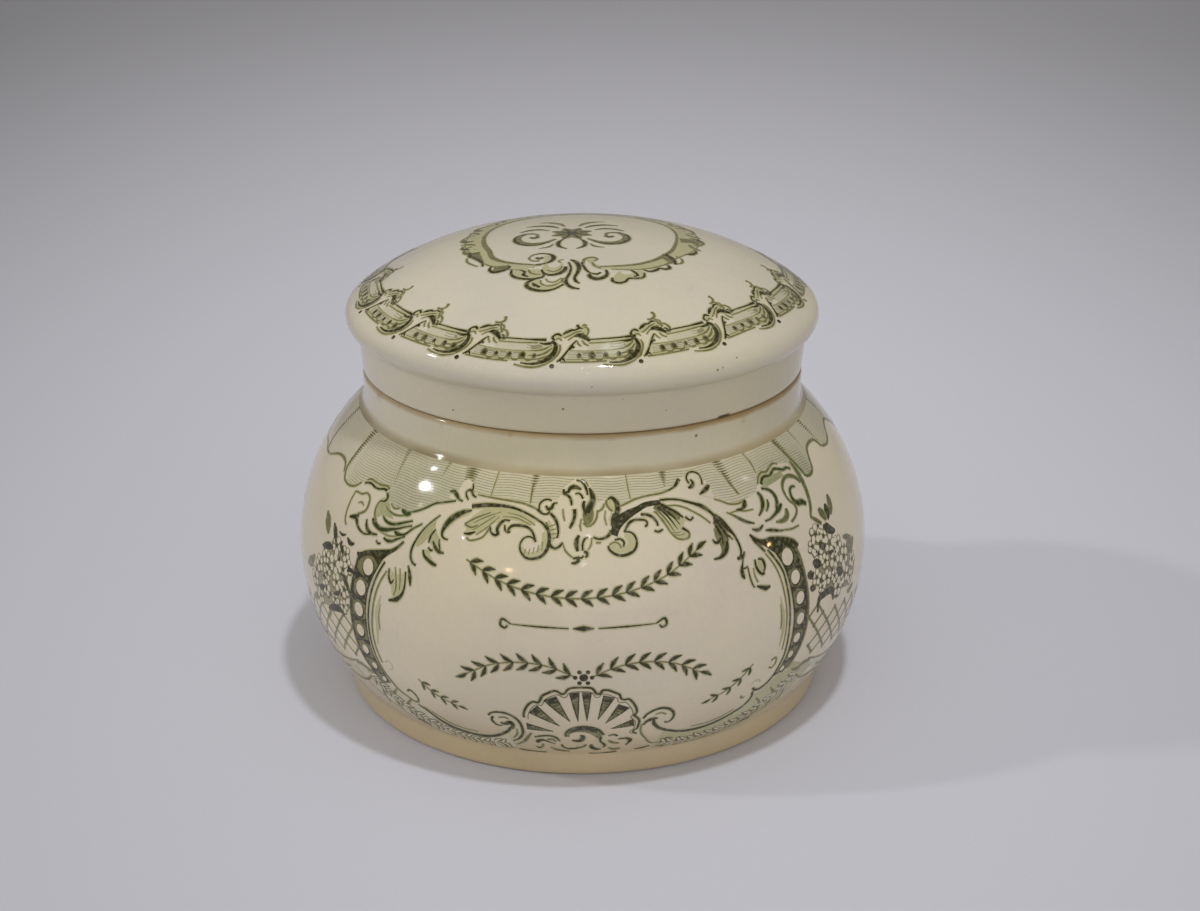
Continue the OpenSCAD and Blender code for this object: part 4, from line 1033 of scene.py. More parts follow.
# Flowers beside the bead strings: ground, blossoms (place and radius), then leaves and dark gaps
posies = [
    dict(
        weight=1.25,
        ground=([(-57, 9.8), (-59.8, 6.8), (-62.8, 3.6), (-64.4, 1), (-63.4, -1.6), (-59.6, -2.6),
            (-55.6, -1.8)], [(-51.2, 10), (-50.8, 8), (-50.1, 5), (-50.2, 2.4), (-50.6, .8), (-51.6, -.6),
            (-52.6, -1.6)]),
        blossoms=[(-55.4, 9.2, 1.15), (-51.9, 8.8, 1.1), (-58.9, 6.3, 1.1), (-55.2, 6.1, 1.2),
            (-52, 6.1, 1), (-61.6, 4.1, 1.15), (-57.9, 3.6, 1.2), (-54, 3.3, 1.2), (-51.1, 2.9, 1),
            (-63.8, 1, 1.1), (-58.2, .9, 1.2), (-54.5, .1, 1.1), (-61.4, -1.7, 1.1), (-50.2, 7, .8),
            (-51.4, -.2, .8)],
        leaves=[
            ("mid", (.3, 1.5, 1.3, .3), [(-62.4, 13.2), (-61.2, 12), (-60.2, 10.9), (-59.6, 9.9)]),
            ("line", (.3, 1, .9, .3), [(-58.2, 12.3), (-57.2, 11.3), (-56.4, 10.4), (-56, 9.5)]),
            ("line", (.2, 1, 1.1, .4), [(-61.2, 7.5), (-59.6, 7.9), (-58, 8.3), (-56.5, 8.4)]),
            ("line", (.2, .7, .7, .2), [(-54.6, 9.9), (-53.7, 9.5), (-53, 9), (-52.6, 8.2)]),
            ("line", (.2, .7, .6, .2), [(-52.4, 11.5), (-51.4, 11), (-50.6, 10.9), (-49.7, 11.2)]),
            ("line", (.2, .4, .2), [(-55.6, 11.6), (-54.3, 11.4), (-53, 11.8)]),
            ("line", (.2, .7, .6, .2), [(-50.6, 6.2), (-49.9, 6.7), (-49.1, 6.7), (-48.5, 6.3)]),
            ("line", (.2, .7, .8, .5), [(-52.8, 5.3), (-51.6, 5), (-50.3, 4), (-49.3, 2.8)]),
            ("mid", (.3, 1.4, 1.5, .4), [(-69, 1.6), (-67.4, 2.3), (-65.9, 3), (-64.3, 4.6)]),
            ("line", (.2, .9, .9, .2), [(-61.8, .1), (-60.8, 0), (-59.8, .5), (-58.9, 1)]),
            ("line", (.2, .6, .7, .2), [(-55.4, .7), (-54.4, 1.1), (-53.4, 1.5), (-52.6, 2.2)]),
            ("line", (.4, 1, 1.1, .9, .3), [(-57.8, -2.9), (-56.3, -2.1), (-54.4, -1.5), (-52.6, -1.3),
                (-51.3, -2)]),
            ("mid", (.3, 1.1, 1, .3), [(-66, -3.6), (-64.4, -3), (-63, -2.3), (-61.8, -1)]),
            ("line", (.2, .5, .3), [(-56.4, 5), (-57.3, 4.9), (-58.4, 5.1)]),
            ("line", (.2, .6, .3), [(-59.9, 2.3), (-59.2, 2.7), (-58.2, 2.5)]),
            ("mid", (.3, .6, .3), [(-58.9, -4.9), (-57.9, -4), (-56.9, -3.1)]),
        ],
    ),
    dict(
        weight=1.5,
        ground=([(50.6, 12), (49.7, 10), (49.4, 7), (49.5, 4.8), (50.2, 3.2), (51.4, 2.2), (53.6, 1.8),
            (56.2, .8)], [(53.2, 11.6), (56.6, 9.8), (60, 7.6), (63.2, 5), (65.6, 3.2), (66.2, 1.2),
            (64.6, -.2), (61.6, -.6)]),
        blossoms=[(51.6, 12, 1.15), (49.7, 10.3, 1.05), (54, 10.9, 1), (51.1, 8.7, 1), (55.6, 9.2, 1.15),
            (58.6, 8.2, 1.1), (53, 6.9, 1.1), (49.6, 5.1, 1.05), (56.6, 6.1, 1.15), (60.6, 5.2, 1.15),
            (53, 4, 1.1), (51.2, 2.9, .9), (56, 3.4, 1), (60.5, 2.1, 1.15), (57.4, .9, 1.1),
            (64.8, 3.3, 1.1), (63.4, .6, 1.1)],
        leaves=[
            ("mid", (.3, .9, .8, .3), [(55.2, 15.4), (55.6, 14.6), (56.2, 13.8), (56.4, 12.9)]),
            ("line", (.3, 1, .8, .3), [(58, 15.4), (57.9, 14.5), (57.8, 13.6), (57.2, 12.8)]),
            ("mid", (.3, .9, .9, .3), [(60.3, 16.4), (60.1, 15.3), (59.6, 14.2), (58.8, 13.2)]),
            ("mid", (.2, .4, .3), [(51.6, 15), (53, 14), (54.6, 12.9)]),
            ("line", (.4, 1.2, 1, .8, .3), [(54.7, 12.3), (55.8, 11.8), (56.8, 11.2), (57.8, 10.7),
                (58.8, 10.5)]),
            ("line", (.2, .9, .9, .2), [(51.8, 10.3), (52.6, 9.7), (53.4, 9.3), (54.2, 9.3)]),
            ("line", (.3, 1.1, 1, .3), [(48.9, 7.9), (49.8, 7.5), (50.7, 7.1), (51.6, 6.6)]),
            ("line", (.3, 1, .9, .3), [(46.9, 6.5), (47.5, 6.2), (48.2, 6), (48.8, 6.3)]),
            ("line", (.2, .8, .7, .2), [(47.3, 4.1), (47.9, 3.8), (48.5, 3.6), (49.1, 3.4)]),
            ("line", (.2, .6, .2), [(54.7, 7.9), (55.5, 7.6), (56.5, 7.7)]),
            ("mid", (.4, 1.6, 1.5, .4), [(61.6, 5.9), (63.2, 6), (65, 6), (66.8, 6.6)]),
            ("mid", (.2, .7, .2), [(61.4, 8.5), (63.2, 7.8), (65.4, 7.2)]),
            ("line", (.3, 1, 1.1, .3), [(56.8, 4.4), (57.8, 3.7), (58.8, 3.1), (60, 2.9)]),
            ("line", (.4, .8, .9, .9, .8, .3), [(49.9, .2), (50.3, 1.2), (52, 1.5), (53.8, 1.5), (55, 1),
                (55.6, -.8)]),
            ("line", (.5, .4, .3), [(50, 1.2), (49.8, 0), (49.9, -1.2)]),
            ("line", (.2, .5, .3), [(50.4, 4.4), (51.1, 4.1), (51.7, 3.7)]),
            ("mid", (.3, .9, .3), [(66, -1.6), (64.3, -2), (62.4, -1.8)]),
        ],
    ),
]

# Trellis under the flowers: a node, the steps to its neighbours, and the edges it stays within
trellis = dict(
    between=(46.8, 90.6), node=(49.0, -3.3), steep=(2.05, -2.15), flat=(2.8, 1.5), steepWidth=0.36,
    flatWidth=0.3, knot=0.46,
    top=[(46, 1), (50, .6), (56, -.6), (62, -2.2), (70, -3), (80, -3.4), (92, -3.4)],
    low=[(46, -9), (50, -9.8), (56, -11.4), (64, -12.8), (74, -13.6), (92, -14)],
)
# Leafy border under the trellis
borderLow = [
    ("wash", (.5, 1.8, 1.8, 1.4), [(46, -10.9), (52, -12.5), (60, -14.6), (70, -15.9), (80, -16.5),
        (91, -16.6)]),
    ("mid", (.3, .9, .9, .5), [(44.6, -10.4), (46.4, -11.2), (48.8, -10.7), (51.4, -11.2)]),
    ("mid", (.3, .4, .4, .35), [(50, -10.3), (56, -12.3), (64, -13.8), (74, -14.6), (84, -15), (91, -15)]),
    ("mid", (.3, .6, .6, .3), [(46.8, -12.4), (50, -14.6), (54, -15.7), (58.6, -16.2)]),
    ("mid", (.3, .5, .6, .3), [(56, -14), (60, -15.6), (65, -16.9), (70, -17.2)]),
    ("mid", (.3, .5, .6, .3), [(67, -15.4), (71, -17), (76, -17.9), (81, -18)]),
    ("mid", (.3, .5, .6, .3), [(78, -16), (82, -17.4), (87, -18.3), (91, -18.3)]),
    ("mid", (.2, .5, .5, .3), [(42.6, -12.4), (44.4, -14.4), (45.6, -16.6), (45.4, -18.6)]),
    ("mid", (.3, .7, .5, .3), [(39.6, -12.7), (41.6, -14.9), (42.2, -17.2), (41.4, -19.4)]),
    ("mid", (.3, .6, .5, .3), [(36.4, -14.1), (38.4, -16.2), (38.7, -18.4), (37.6, -20.4)]),
    ("ink", (.3, .7, .9, .3), [(34.9, -21.2), (36, -20.6), (37, -20.3), (38.4, -20.6)]),
]
# Ground between the cartouche and the foot: its upper edge right and left, and its lower edge; then
# the run of leaves on it
lowGround = dict(
    small=.75, lean=(.8, .15), core=(.8, .4),
    upper=([(44, -8.6), (40.6, -10), (38.4, -11.8), (35.4, -13), (34.6, -14.8), (31.5, -16.6), (27, -18.1),
        (21, -18.4), (16, -17)], [(44.5, -9.5), (41, -11), (38.6, -13.2), (35.2, -15), (32.6, -16.4),
        (29.6, -18.5), (25.5, -19.7), (20, -19.4), (15.4, -17.4)]),
    lower=[(53, -12.6), (49, -15.4), (44, -18.2), (38.4, -20.6), (32, -22.2), (26, -22.9), (20, -22.9),
        (14.6, -21.9)],
    run=[(48, -11.6), (44.6, -13.6), (41, -16), (37, -18.2), (32.5, -19.7), (27, -20.9), (21, -21.2),
        (15.5, -20.4)],
    step=1.5, leaf=2.5, fat=1.1,
)
# Ornament inside the cartouche: a leaf festoon, a rule, two sprays and two sprigs
festoon = dict(
    path=[(-22.5, 14.3), (-15, 11.6), (-7.5, 10.1), (0, 9.7), (7.5, 10.4), (15, 12.3), (22, 15.6)],
    leaf=2.3, spread=34, pairs=17, fat=0.85,
)
sprays = [
    dict(path=flipped([(1.5, -3.3), (6, -1.6), (11, -1.1), (16.5, -2), (21.5, -4.4)], side),
         leaf=2.5, spread=38, pairs=8, fat=0.8)
    for side in (1, -1)
]
sprigs = [
    dict(
        path=[(-32.6, -8.2), (-30.4, -9.9), (-27.6, -11.2), (-24.6, -12)], leaf=1.7, spread=40, pairs=4,
        fat=0.6,
    ),
    dict(
        path=[(33, -5.6), (30.6, -7.8), (27.8, -9.6), (24.6, -10.7)], leaf=1.7, spread=40, pairs=4, fat=0.6,
    ),
]
rule = [
    ("ink", (.1, .3, .15), [(-13, 5.2), (-7.5, 5.1), (-2.6, 5)]),
    ("ink", (.15, .3, .1), [(2.6, 5), (7.5, 5.1), (13, 5.2)]),
    ("ink", (.15, 1, .15), [(-1.9, 5), (0, 5), (1.9, 5)]),
    ("ink", (.2, .4, .4, .3, .2), [(-13, 5.2), (-14.6, 5.9), (-14.9, 4.9), (-14, 4.5), (-13.6, 5)]),
    ("ink", (.2, .4, .4, .3, .2), [(13, 5.2), (14.6, 5.9), (14.9, 4.9), (14, 4.5), (13.6, 5)]),
]

# Border round the lid: where its crossings stand, its middle line, and one length of it, in degrees
# past the crossing and mm outwards from the middle line. The shades are tone, one edge, other edge.
lidBorder = dict(
    bead=((0, .9), .5, 1.3), beadCore=((.1, .85), .27, 1.5), crossingDot=((.2, 2.75), .4),
    underside=[(.5, 1.2), (1.2, 1.75), (2.1, 1.75), (2.7, 1.2)], cheek=[(.9, .5), (1.7, .3), (2.4, .6)],
    bandLines=(.3, .6, .9, 1.2, 1.5), foldLines=(-1.6, -1.1, -.6, -.1),
    crossings=[-50, -29.5, -7, 13, 35, 56.5, 77.5, 98.5, 119.5, 140.5, 161.5, 182.5, 203.5, 225, 246.5,
        268, 289],
    plain=[-7, 119.5, 225],    # those whose leaf has no curl
    middle=[(-180, 36.5), (-130, 36.3), (-90, 37.2), (-50, 38.3), (-20, 38.9), (5, 38.4), (20, 37.8),
        (35, 37.2), (45, 36.5), (70, 36.8), (90, 37.5), (130, 36.8), (180, 36.5)],
    shades=[
        ("wash", [(2, 1.9), (6, 2), (12, 2), (17, 2)], [(3.6, .2), (7, .3), (12, .3), (18.6, .3)]),
        ("pale", [(2, 1.9), (6, 2), (12, 2), (17, 2)], [(2.6, 1.5), (7, 1.4), (12, 1.4), (18, 1.5)]),
        ("wash", [(8.2, -.2), (12, -.1), (16, -.1), (20, -.2)], [(8.2, -2.2), (12, -2.2), (16, -2.2),
            (20.6, -2.2)]),
        ("hatch", [(17, -1), (18.4, -1.2), (20, -1.4)], [(17.4, .4), (18.2, .9), (19.4, 1.4)]),
        ("wash", [(14, -2), (17, -2), (20.4, -2)], [(15, -1), (17.4, -.6), (19.6, 0)]),
        ("pale", [(-7.6, 1.9), (-5, 2.3), (-2, 1.9), (.2, .6), (.5, -.8), (.1, -2)], [(-7, .2), (-5, .1),
            (-3.4, -.1), (-2.6, -.6), (-2.8, -1.2), (-4, -1.8)]),
        ("cover", [(-1.6, 2.6), (0, 1.8), (1, .8), (1.6, -.4), (1.3, -1.7), (.6, -2.6)], [(.6, 2.6),
            (1.7, 1.7), (3, .3), (4.2, -.9), (5, -1.9), (5.6, -2.8)]),
        ("pale", [(-.3, -2.7), (.6, -3.3), (2, -3.4), (3.6, -4.1), (5.6, -4.7), (7, -5), (8.1, -4.9)],
            [(1, -2.5), (2.4, -2.6), (3.6, -2.9), (4.6, -3.3), (5.8, -3.6), (7, -3.6), (8.3, -3.4)]),
    ],
    strokes=[
        # the band's edges, and the dark crescent where it dives under the crossing
        ("ink", (.22, .25, .3, .5, .6), [(8.2, -2.2), (12, -2.25), (16, -2.2), (18.6, -2.2), (20.6, -2.2)]),
        ("mid", (.2, .2, .3), [(8.6, -1.5), (13, -1.5), (18.6, -1.6)]),
        ("mid", (.25, .28, .25), [(2, 2), (8, 2.05), (12.5, 2.05)]),
        ("mid", (.12, .12, .12), [(3.4, 1.55), (9, 1.6), (16, 1.6)]),
        ("mid", (.1, .1, .1), [(4, -.1), (9, .05), (17, .05)]),
        ("ink", (.4, .6, .8, 1, .95, .6, .4, .2), [(-.6, -2), (.3, -1.5), (.6, -.6), (.2, .5), (-1, 1.5),
            (-2.8, 2.2), (-4.8, 2.45), (-7, 2.3)]),
        ("ink", (.4, .6, .5, .15), [(.2, -1.7), (-1, -1.5), (-2.2, -1.4), (-3.6, -1.6)]),
        ("mid", (.2, .45, .35, .15), [(-.2, -.7), (-1.4, .2), (-3.2, .8), (-5.6, .9)]),
        ("mid", (.2, .4, .3, .12), [(-.4, -1.2), (-1.8, -.5), (-3.4, -.1), (-5.6, 0)]),
        ("mid", (.2, .35, .25, .12), [(-.6, .6), (-2.2, 1.3), (-4.4, 1.6), (-7.4, 1.5)]),
        ("mid", (.2, .28, .3, .25), [(-8.4, 2.6), (-6, 2.95), (-3.4, 2.95), (-1.2, 2.4)]),
        # the leaf's stem over the band
        ("mid", (.2, .25, .28, .3, .25), [(-1.4, 2.5), (.1, 1.7), (1.2, .7), (1.7, -.4), (1.5, -1.3)]),
        ("ink", (.2, .35, .3, .3, .2), [(1.2, 2), (2.4, 1.1), (3.6, -.2), (4.6, -1.3), (5.6, -2.1)]),
        ("ink", (.2, .7, .2), [(3.9, -.2), (4.5, -.9), (5.1, -.6)]),
        ("ink", (.15, .5, .15), [(1.8, 1.9), (2.4, 1.3), (3.1, 1.9)]),
        # its head
        ("ink", (.2, .5, .3, .5, .3), [(.2, -2.1), (-.5, -2.6), (-.2, -3.1), (.8, -3.4), (1.7, -3)]),
        ("mid", (.2, .3, .15), [(.3, -2.3), (1.2, -2.5), (1.9, -2)]),
        ("ink", (.2, .6, .5, .3, .45, .2), [(2, -3.3), (3, -3.8), (4.2, -4.2), (5.1, -4.2), (6.2, -4.6),
            (7.2, -4.5)]),
        ("mid", (.2, .25, .3, .2), [(2.4, -2.6), (3.8, -3.1), (5.2, -3.7), (6.8, -4)]),
        ("mid", (.15, .25, .25, .15), [(3.4, -2.1), (4.4, -2.7), (5.8, -3.3), (7.6, -3.6)]),
        ("ink", (.3, .9, 1.05, .8, .3), [(5, -2.9), (6, -3.15), (7.1, -2.9), (8.1, -2.4), (8.8, -1.8)]),
        ("mid", (.2, .3, .3, .2), [(7.4, -4.9), (8.4, -4.5), (8.5, -3.7), (8.1, -3)]),
        ("mid", (.2, .3, .2), [(6.9, -2.1), (7.5, -1.4), (8.5, -1)]),
        ("mid", (.15, .3, .15), [(5.6, -2.1), (6, -1.4), (6.7, -.9)]),
    ],
    # either a tip that fans out, or a curl that stands up from the leaf with a scroll beside it
    tip=[
        ("ink", (.3, .6, .3), [(5.3, -5.2), (5.7, -5.1), (6.2, -4.7)]),
        ("mid", (.2, .35, .2), [(7, -5), (7.6, -5.3), (8.2, -5)]),
    ],
    curl=[
        ("mid", (.2, .35, .4, .4, .35, .2), [(5.2, -5.2), (6, -5.05), (7, -5.2), (7.8, -5.7), (7.7, -6.3),
            (7, -6.4)]),
        ("mid", (.3, .35, .3, .25), [(7.2, -5.1), (7.6, -4.4), (8, -3.8), (8.8, -3.2)]),
        ("mid", (.2, .35, .4, .3, .2), [(8.4, -3.9), (9.6, -3.6), (10.3, -2.8), (10, -2), (8.9, -1.9)]),
        ("ink", (.2, .4, .3), [(8.7, -2.8), (9.4, -2.6), (9.6, -2)]),
    ],
    gaps=[6.2, 9.2, 12.4, 15.5, 18.3],    # dark gaps between the beads on the band
)

# Wreath round the lid's middle: x to the right and y to the back, in mm from the axis
wreathInside = [(-6.6, -16.2), (-8.6, -15.6), (-11, -14.6), (-13.1, -13.2), (-14.7, -11), (-15.3, -8),
    (-16.3, -4), (-16.6, 0), (-15.8, 5), (-13.6, 9.6), (-10, 13.2), (-5.6, 15.4), (-.6, 16.3), (4.2, 16),
    (8.8, 14.4), (12.6, 11.2), (15, 7.4), (16, 3), (16, -1), (15.6, -4.4), (14.8, -8), (13.4, -10.8),
    (11.6, -13.4), (9, -15.5), (6, -16.6), (2.8, -17.1)]
wreathOutside = [(-9.6, -17.4), (-11.6, -16.8), (-13.8, -15.4), (-15.6, -13.6), (-17.1, -10.8),
    (-18.3, -7.6), (-19.5, -4), (-19.7, 0), (-18.8, 5.8), (-16.2, 11.2), (-12, 15.4), (-6.6, 18.2),
    (-.6, 19.3), (5, 18.9), (10.4, 16.8), (15, 13), (18, 8.4), (19.6, 3.4), (19.8, -1), (19, -5),
    (17.5, -8.4), (15.6, -11), (13.9, -14), (11.3, -16.4), (8.2, -17.7), (4.6, -18)]
wreathShades = [
    ("pale", [(-11.2, -17.2), (-11, -19.2), (-9, -20.4), (-6.6, -20.4)], [(-9.4, -17), (-8.4, -17.4),
        (-7.4, -17.6), (-6.4, -18)]),
    ("pale", [(-8.7, -21.6), (-8.2, -23.2), (-6.6, -24.2), (-4.4, -24), (-2.8, -22.6)], [(-6.8, -21),
        (-6.4, -22.2), (-5.4, -22.8), (-4, -22.4), (-3, -21.4)]),
    ("pale", [(-6.3, -16.6), (-6.4, -18.4), (-5.2, -19.6), (-3.6, -19.4), (-2.7, -17.6)], [(-5.6, -15.4),
        (-5.4, -16.8), (-4.8, -17.4), (-4, -17.2), (-3.2, -15.6)]),
    ("pale", [(-5, -15.4), (-4.5, -13.8), (-5, -12.2)], [(-6.4, -15.4), (-6, -13.8), (-6.2, -12.6)]),
    ("pale", [(.4, -14.6), (1.2, -15.8), (1.8, -17.4), (3, -18.2)], [(2.2, -14), (2, -15.6), (2.8, -16.8),
        (4.2, -17.6)]),
    ("pale", [(5, -20.4), (5.4, -22), (6.8, -21.6), (8.6, -20.4), (9.9, -19)], [(6, -18.4), (6.6, -19.6),
        (7.6, -19.4), (8.2, -18.6), (9.6, -17.2)]),
    ("mid", [(13.3, -9.8), (14.4, -11), (15.2, -13.4)], [(12.8, -11.4), (13.4, -12.6), (14.4, -14)]),
    ("mid", [(-18.9, -8.2), (-18, -10.2), (-16.6, -12.6)], [(-17, -7.4), (-16.6, -9.4), (-16, -12.4)]),
    ("mid", [(-14.2, -14.8), (-13.2, -15), (-11.8, -14.9)], [(-14.4, -16.6), (-13, -16.8), (-11.6, -16)]),
    ("mid", [(16.4, -.2), (18, .2), (20, -.2)], [(16.6, -2.8), (18.2, -2.2), (19.6, -3)]),
]
wreath = [
    ("ink", (.3, .6, .9, .7, .4), [(-14.6, -14.6), (-15, -15.7), (-14.4, -16.9), (-13.2, -17),
        (-12, -16.4), (-11.6, -15.5)]),
    ("ink", (.3, .55, .7, .7, .6, .5, .4), [(-11.3, -17), (-11.4, -18.4), (-10.8, -19.6), (-9.4, -20.5),
        (-7.6, -20.8), (-6.2, -20.2), (-6.2, -19)]),
    ("ink", (.2, .6, .7, .4), [(-10, -17.4), (-9.2, -18.2), (-9.4, -19.2), (-8.6, -20)]),
    ("mid", (.3, .5, .4, .2), [(-8.6, -17.6), (-8.3, -18.7), (-7.4, -19.4), (-6.6, -19.4)]),
    ("ink", (.3, .5, .7, .8, .8, .7, .5, .4), [(-6.2, -20.6), (-7.6, -21), (-8.7, -21.8), (-8.8, -22.9),
        (-7.8, -24), (-6.2, -24.6), (-4.5, -24.3), (-2.9, -23)]),
    ("ink", (.3, .8, .5), [(-7.9, -22), (-7.5, -22.8), (-6.7, -23.5)]),
    ("mid", (.2, .35, .35, .2), [(-6.6, -21.4), (-6.5, -22.5), (-5.5, -23.3), (-4.2, -23), (-3, -21.9)]),
    ("mid", (.2, .35, .2), [(-5.8, -21), (-5.4, -22), (-4.4, -22.2), (-3.2, -21)]),
    ("ink", (.5, .9, .9, .7, .5, .4), [(-2.6, -17), (-2.8, -18.4), (-3.8, -19.6), (-5.2, -19.9),
        (-6.2, -19), (-6.5, -17.8)]),
    ("mid", (.3, .35, .3), [(-5.6, -18.2), (-4.6, -18.8), (-3.6, -18.2), (-3.2, -17)]),
    ("mid", (.2, .3, .2), [(-3.4, -15.6), (-3.8, -14.8), (-3, -14.2)]),
    ("ink", (.3, .5, .8, .9, .6, .4, .3), [(-7.4, -15.8), (-6, -15.6), (-4.9, -14.6), (-4.6, -13.2),
        (-5.2, -11.9), (-6.8, -11.3), (-8.2, -11.9)]),
    ("mid", (.3, .35, .4, .4), [(-8.2, -11.9), (-8.6, -13.2), (-7.9, -14.3), (-6.9, -14.4)]),
    ("ink", (.4, .9, .5), [(-7.5, -12.9), (-6.9, -13.5), (-6.3, -13)]),
    ("ink", (.4, .8, .9, .8, .6, .5, .6, .3), [(-1.9, -14.4), (-1.1, -15.2), (-.6, -16.6), (-.5, -18),
        (-.8, -19.6), (-1.2, -21), (-1, -22.2), (-.4, -22.9)]),
    ("ink", (.3, .4, .5, .5, .7, .7, .3), [(-2.2, -15.4), (-1.8, -17.4), (-2, -19.6), (-2.5, -21.4),
        (-2.5, -22.8), (-1.7, -24), (-.4, -24.5)]),
    ("mid", (.3, .5, .3), [(-2.4, -21), (-3.2, -21.6), (-2.9, -22.6)]),
    ("ink", (.3, .5, .5, .3), [(-.1, -15.5), (.2, -17), (.7, -18.6), (1.4, -19.7)]),
    ("ink", (.6, .9, 1.1, .9, .6, .4), [(1.1, -19.8), (1.3, -20.8), (2.2, -21.4), (3.4, -20.9), (4, -19.8),
        (3.8, -18.2)]),
    ("ink", (.3, .6, .3), [(1.4, -19.5), (2.3, -19.9), (3, -19.2)]),
    ("mid", (.3, .5, .55, .5, .3), [(.3, -16), (.2, -14.9), (.8, -13.8), (1.9, -13.5), (2.4, -14.2),
        (2, -15)]),
    ("mid", (.3, .4, .3), [(1.6, -15.5), (2, -16.8), (3, -17.8)]),
    ("ink", (.4, .7, .7, .5, .5, .6, .5, .3), [(4.8, -20.8), (4.9, -22), (5.9, -22.4), (6.9, -21.8),
        (7.4, -20.8), (8.6, -20.6), (9.8, -20), (10, -18.4)]),
    ("ink", (.3, .6, .5, .3), [(7.8, -17.9), (8.5, -18.7), (8.9, -19.6), (8.2, -20)]),
    ("ink", (.3, .6, .7, .5, .7, .7, .4), [(9.8, -17.4), (10.8, -17.8), (11.9, -17.1), (12.5, -16.2),
        (13.4, -16.3), (14.2, -15.5), (13.8, -14.5)]),
    ("ink", (.9, 1.1, .9, .5), [(13.5, -10), (14.4, -11.2), (15, -12.6), (15.2, -14)]),
    ("mid", (.3, .45, .4, .3), [(15.2, -13.8), (16.2, -13), (16.4, -11.6), (15.4, -10.2)]),
    ("ink", (.4, .9, .7, .4), [(17, -8.7), (18, -8.4), (18.8, -7.3), (19, -6)]),
    ("ink", (.6, .9, .8, .7, .5, .3), [(-18.4, -7.4), (-18.5, -8.8), (-17.6, -10), (-16.8, -11.4),
        (-16.2, -13), (-16.2, -14.2)]),
    ("mid", (.3, .4, .3), [(-19, -9.4), (-18.9, -11), (-18, -12.6), (-17, -13.8)]),
    ("ink", (.3, .7, .8, .4), [(-20, -3), (-20.1, -4), (-19.4, -4.9), (-18.7, -5)]),
]
# A lobe of the ring as it stands at the back, repeated at the angles that follow
wreathLobe = [
    ("pale", (1.2, 2.2, 1.4), [(-1.7, 19), (-.6, 19.4), (.6, 18.8)]),
    ("hatch", (.3, 1, .9, .3), [(-2.2, 17.8), (-.8, 18.4), (.6, 18.3), (1.8, 17.8)]),
    ("mid", (.4, .9, .8, .4), [(-2.6, 18), (-2.7, 19.2), (-1.7, 20.2), (-.2, 20.4)]),
    ("mid", (.3, .5, .4), [(-.2, 20.4), (1.1, 19.6), (1.2, 18.6)]),
    ("mid", (.2, .7, .7, .3), [(1.4, 18), (2.5, 18.5), (3.3, 19.3), (3.7, 20.2)]),
    ("ink", (.2, .5, .2), [(-2.7, 18.4), (-2.5, 19.4), (-1.6, 20.2)]),
]
lobesAt = [-104, -82, -60, -38, -16, 6, 28, 50, 72, 94]     # degrees round from the back

# Rosette in the middle of the lid, between two scrolled leaves
rosette = dict(
    at=(-1.7, -1.2), petals=8, petal=3.6, foot=0.8, eye=1.0,
    side=[
        ("mid", (.5, 1, 1.3, 1.3, 1.1, .8, .6, .4), [(2.6, -4.4), (4.6, -6.2), (7, -6.4), (8.8, -4.6),
            (8.9, -2), (7.4, -.4), (5.8, -1.2), (5.9, -2.8)]),
        ("ink", (.3, .6, .8, .8, .5, .3), [(3.6, -5.8), (5.6, -7.1), (7.8, -6.6), (9.4, -4.4), (9.3, -1.8),
            (7.8, -.1)]),
        ("ink", (.4, .9, .5), [(5.4, -2.6), (6.2, -3.3), (7, -2.6)]),
        ("ink", (.2, .9, .9, .2), [(2.2, 2.4), (3.6, 4), (5.6, 4.8), (7.8, 4.6)]),
        ("mid", (.2, .9, .9, .2), [(1.2, 3.4), (2, 5.4), (3.6, 7), (5.6, 7.6)]),
        ("ink", (.2, .8, .7, .2), [(3.8, 1), (5.6, 2), (7.4, 1.8), (8.8, .8)]),
        ("ink", (.2, .8, .7, .2), [(1.2, -4.2), (2.2, -6.4), (2, -8.4), (.8, -9.6)]),
        ("mid", (.2, .6, .2), [(3, -7), (3.8, -8.4), (5.4, -8.9)]),
    ],
)


drape = dict(      # the curtain's engraved lines, mm and degrees
    lowest=19.6, spacing=0.44, wave=0.12, waves=0.7, clear=0.25, shortest=1.5, ends=60,
    foldDrop=0.15, heavyFold=1.9,
)

# What stands in front of the curtain
curtainCovers = [
    ("cover", [(-9.1, 23.3), (-8.9, 24.5), (-7.4, 25), (-5.4, 24.9), (-4.3, 26.7), (-3, 27.7),
        (-1.2, 28.5), (.6, 28.3), (1.9, 27.2), (2.7, 25.8), (3.2, 24.5), (4.9, 25.2), (6.3, 25.6),
        (7.4, 25), (7.8, 23.7)], [(-8.4, 21.8), (-4, 21), (1, 21), (4, 21), (7.2, 22)]),
    ("cover", [(-29.4, 24.3), (-27.7, 24.6), (-27.4, 25.8), (-26.4, 26.9), (-25, 26.6), (-24.5, 25.3),
        (-23, 24.3)], [(-29.2, 23.1), (-27.4, 23.2), (-25.6, 23.6), (-23.4, 24)]),
    ("cover", [(18.8, 25.9), (20.6, 26.5), (22, 27.3), (23.6, 27.5), (25, 28.1), (26.6, 27.7),
        (27.5, 26.4), (28.6, 25.4)], [(18.8, 25.1), (21, 25.2), (23.6, 24.6), (26, 23.8), (28.6, 23.2)]),
]


def hemHeight(angle):
    for run in curtainHem:
        if run[0][0] <= angle <= run[-1][0]:
            return float(np.interp(angle, *zip(*run)))
    return curtainTop


def wavy(angle, level):
    return level + drape["wave"] * math.sin(angle * drape["waves"])


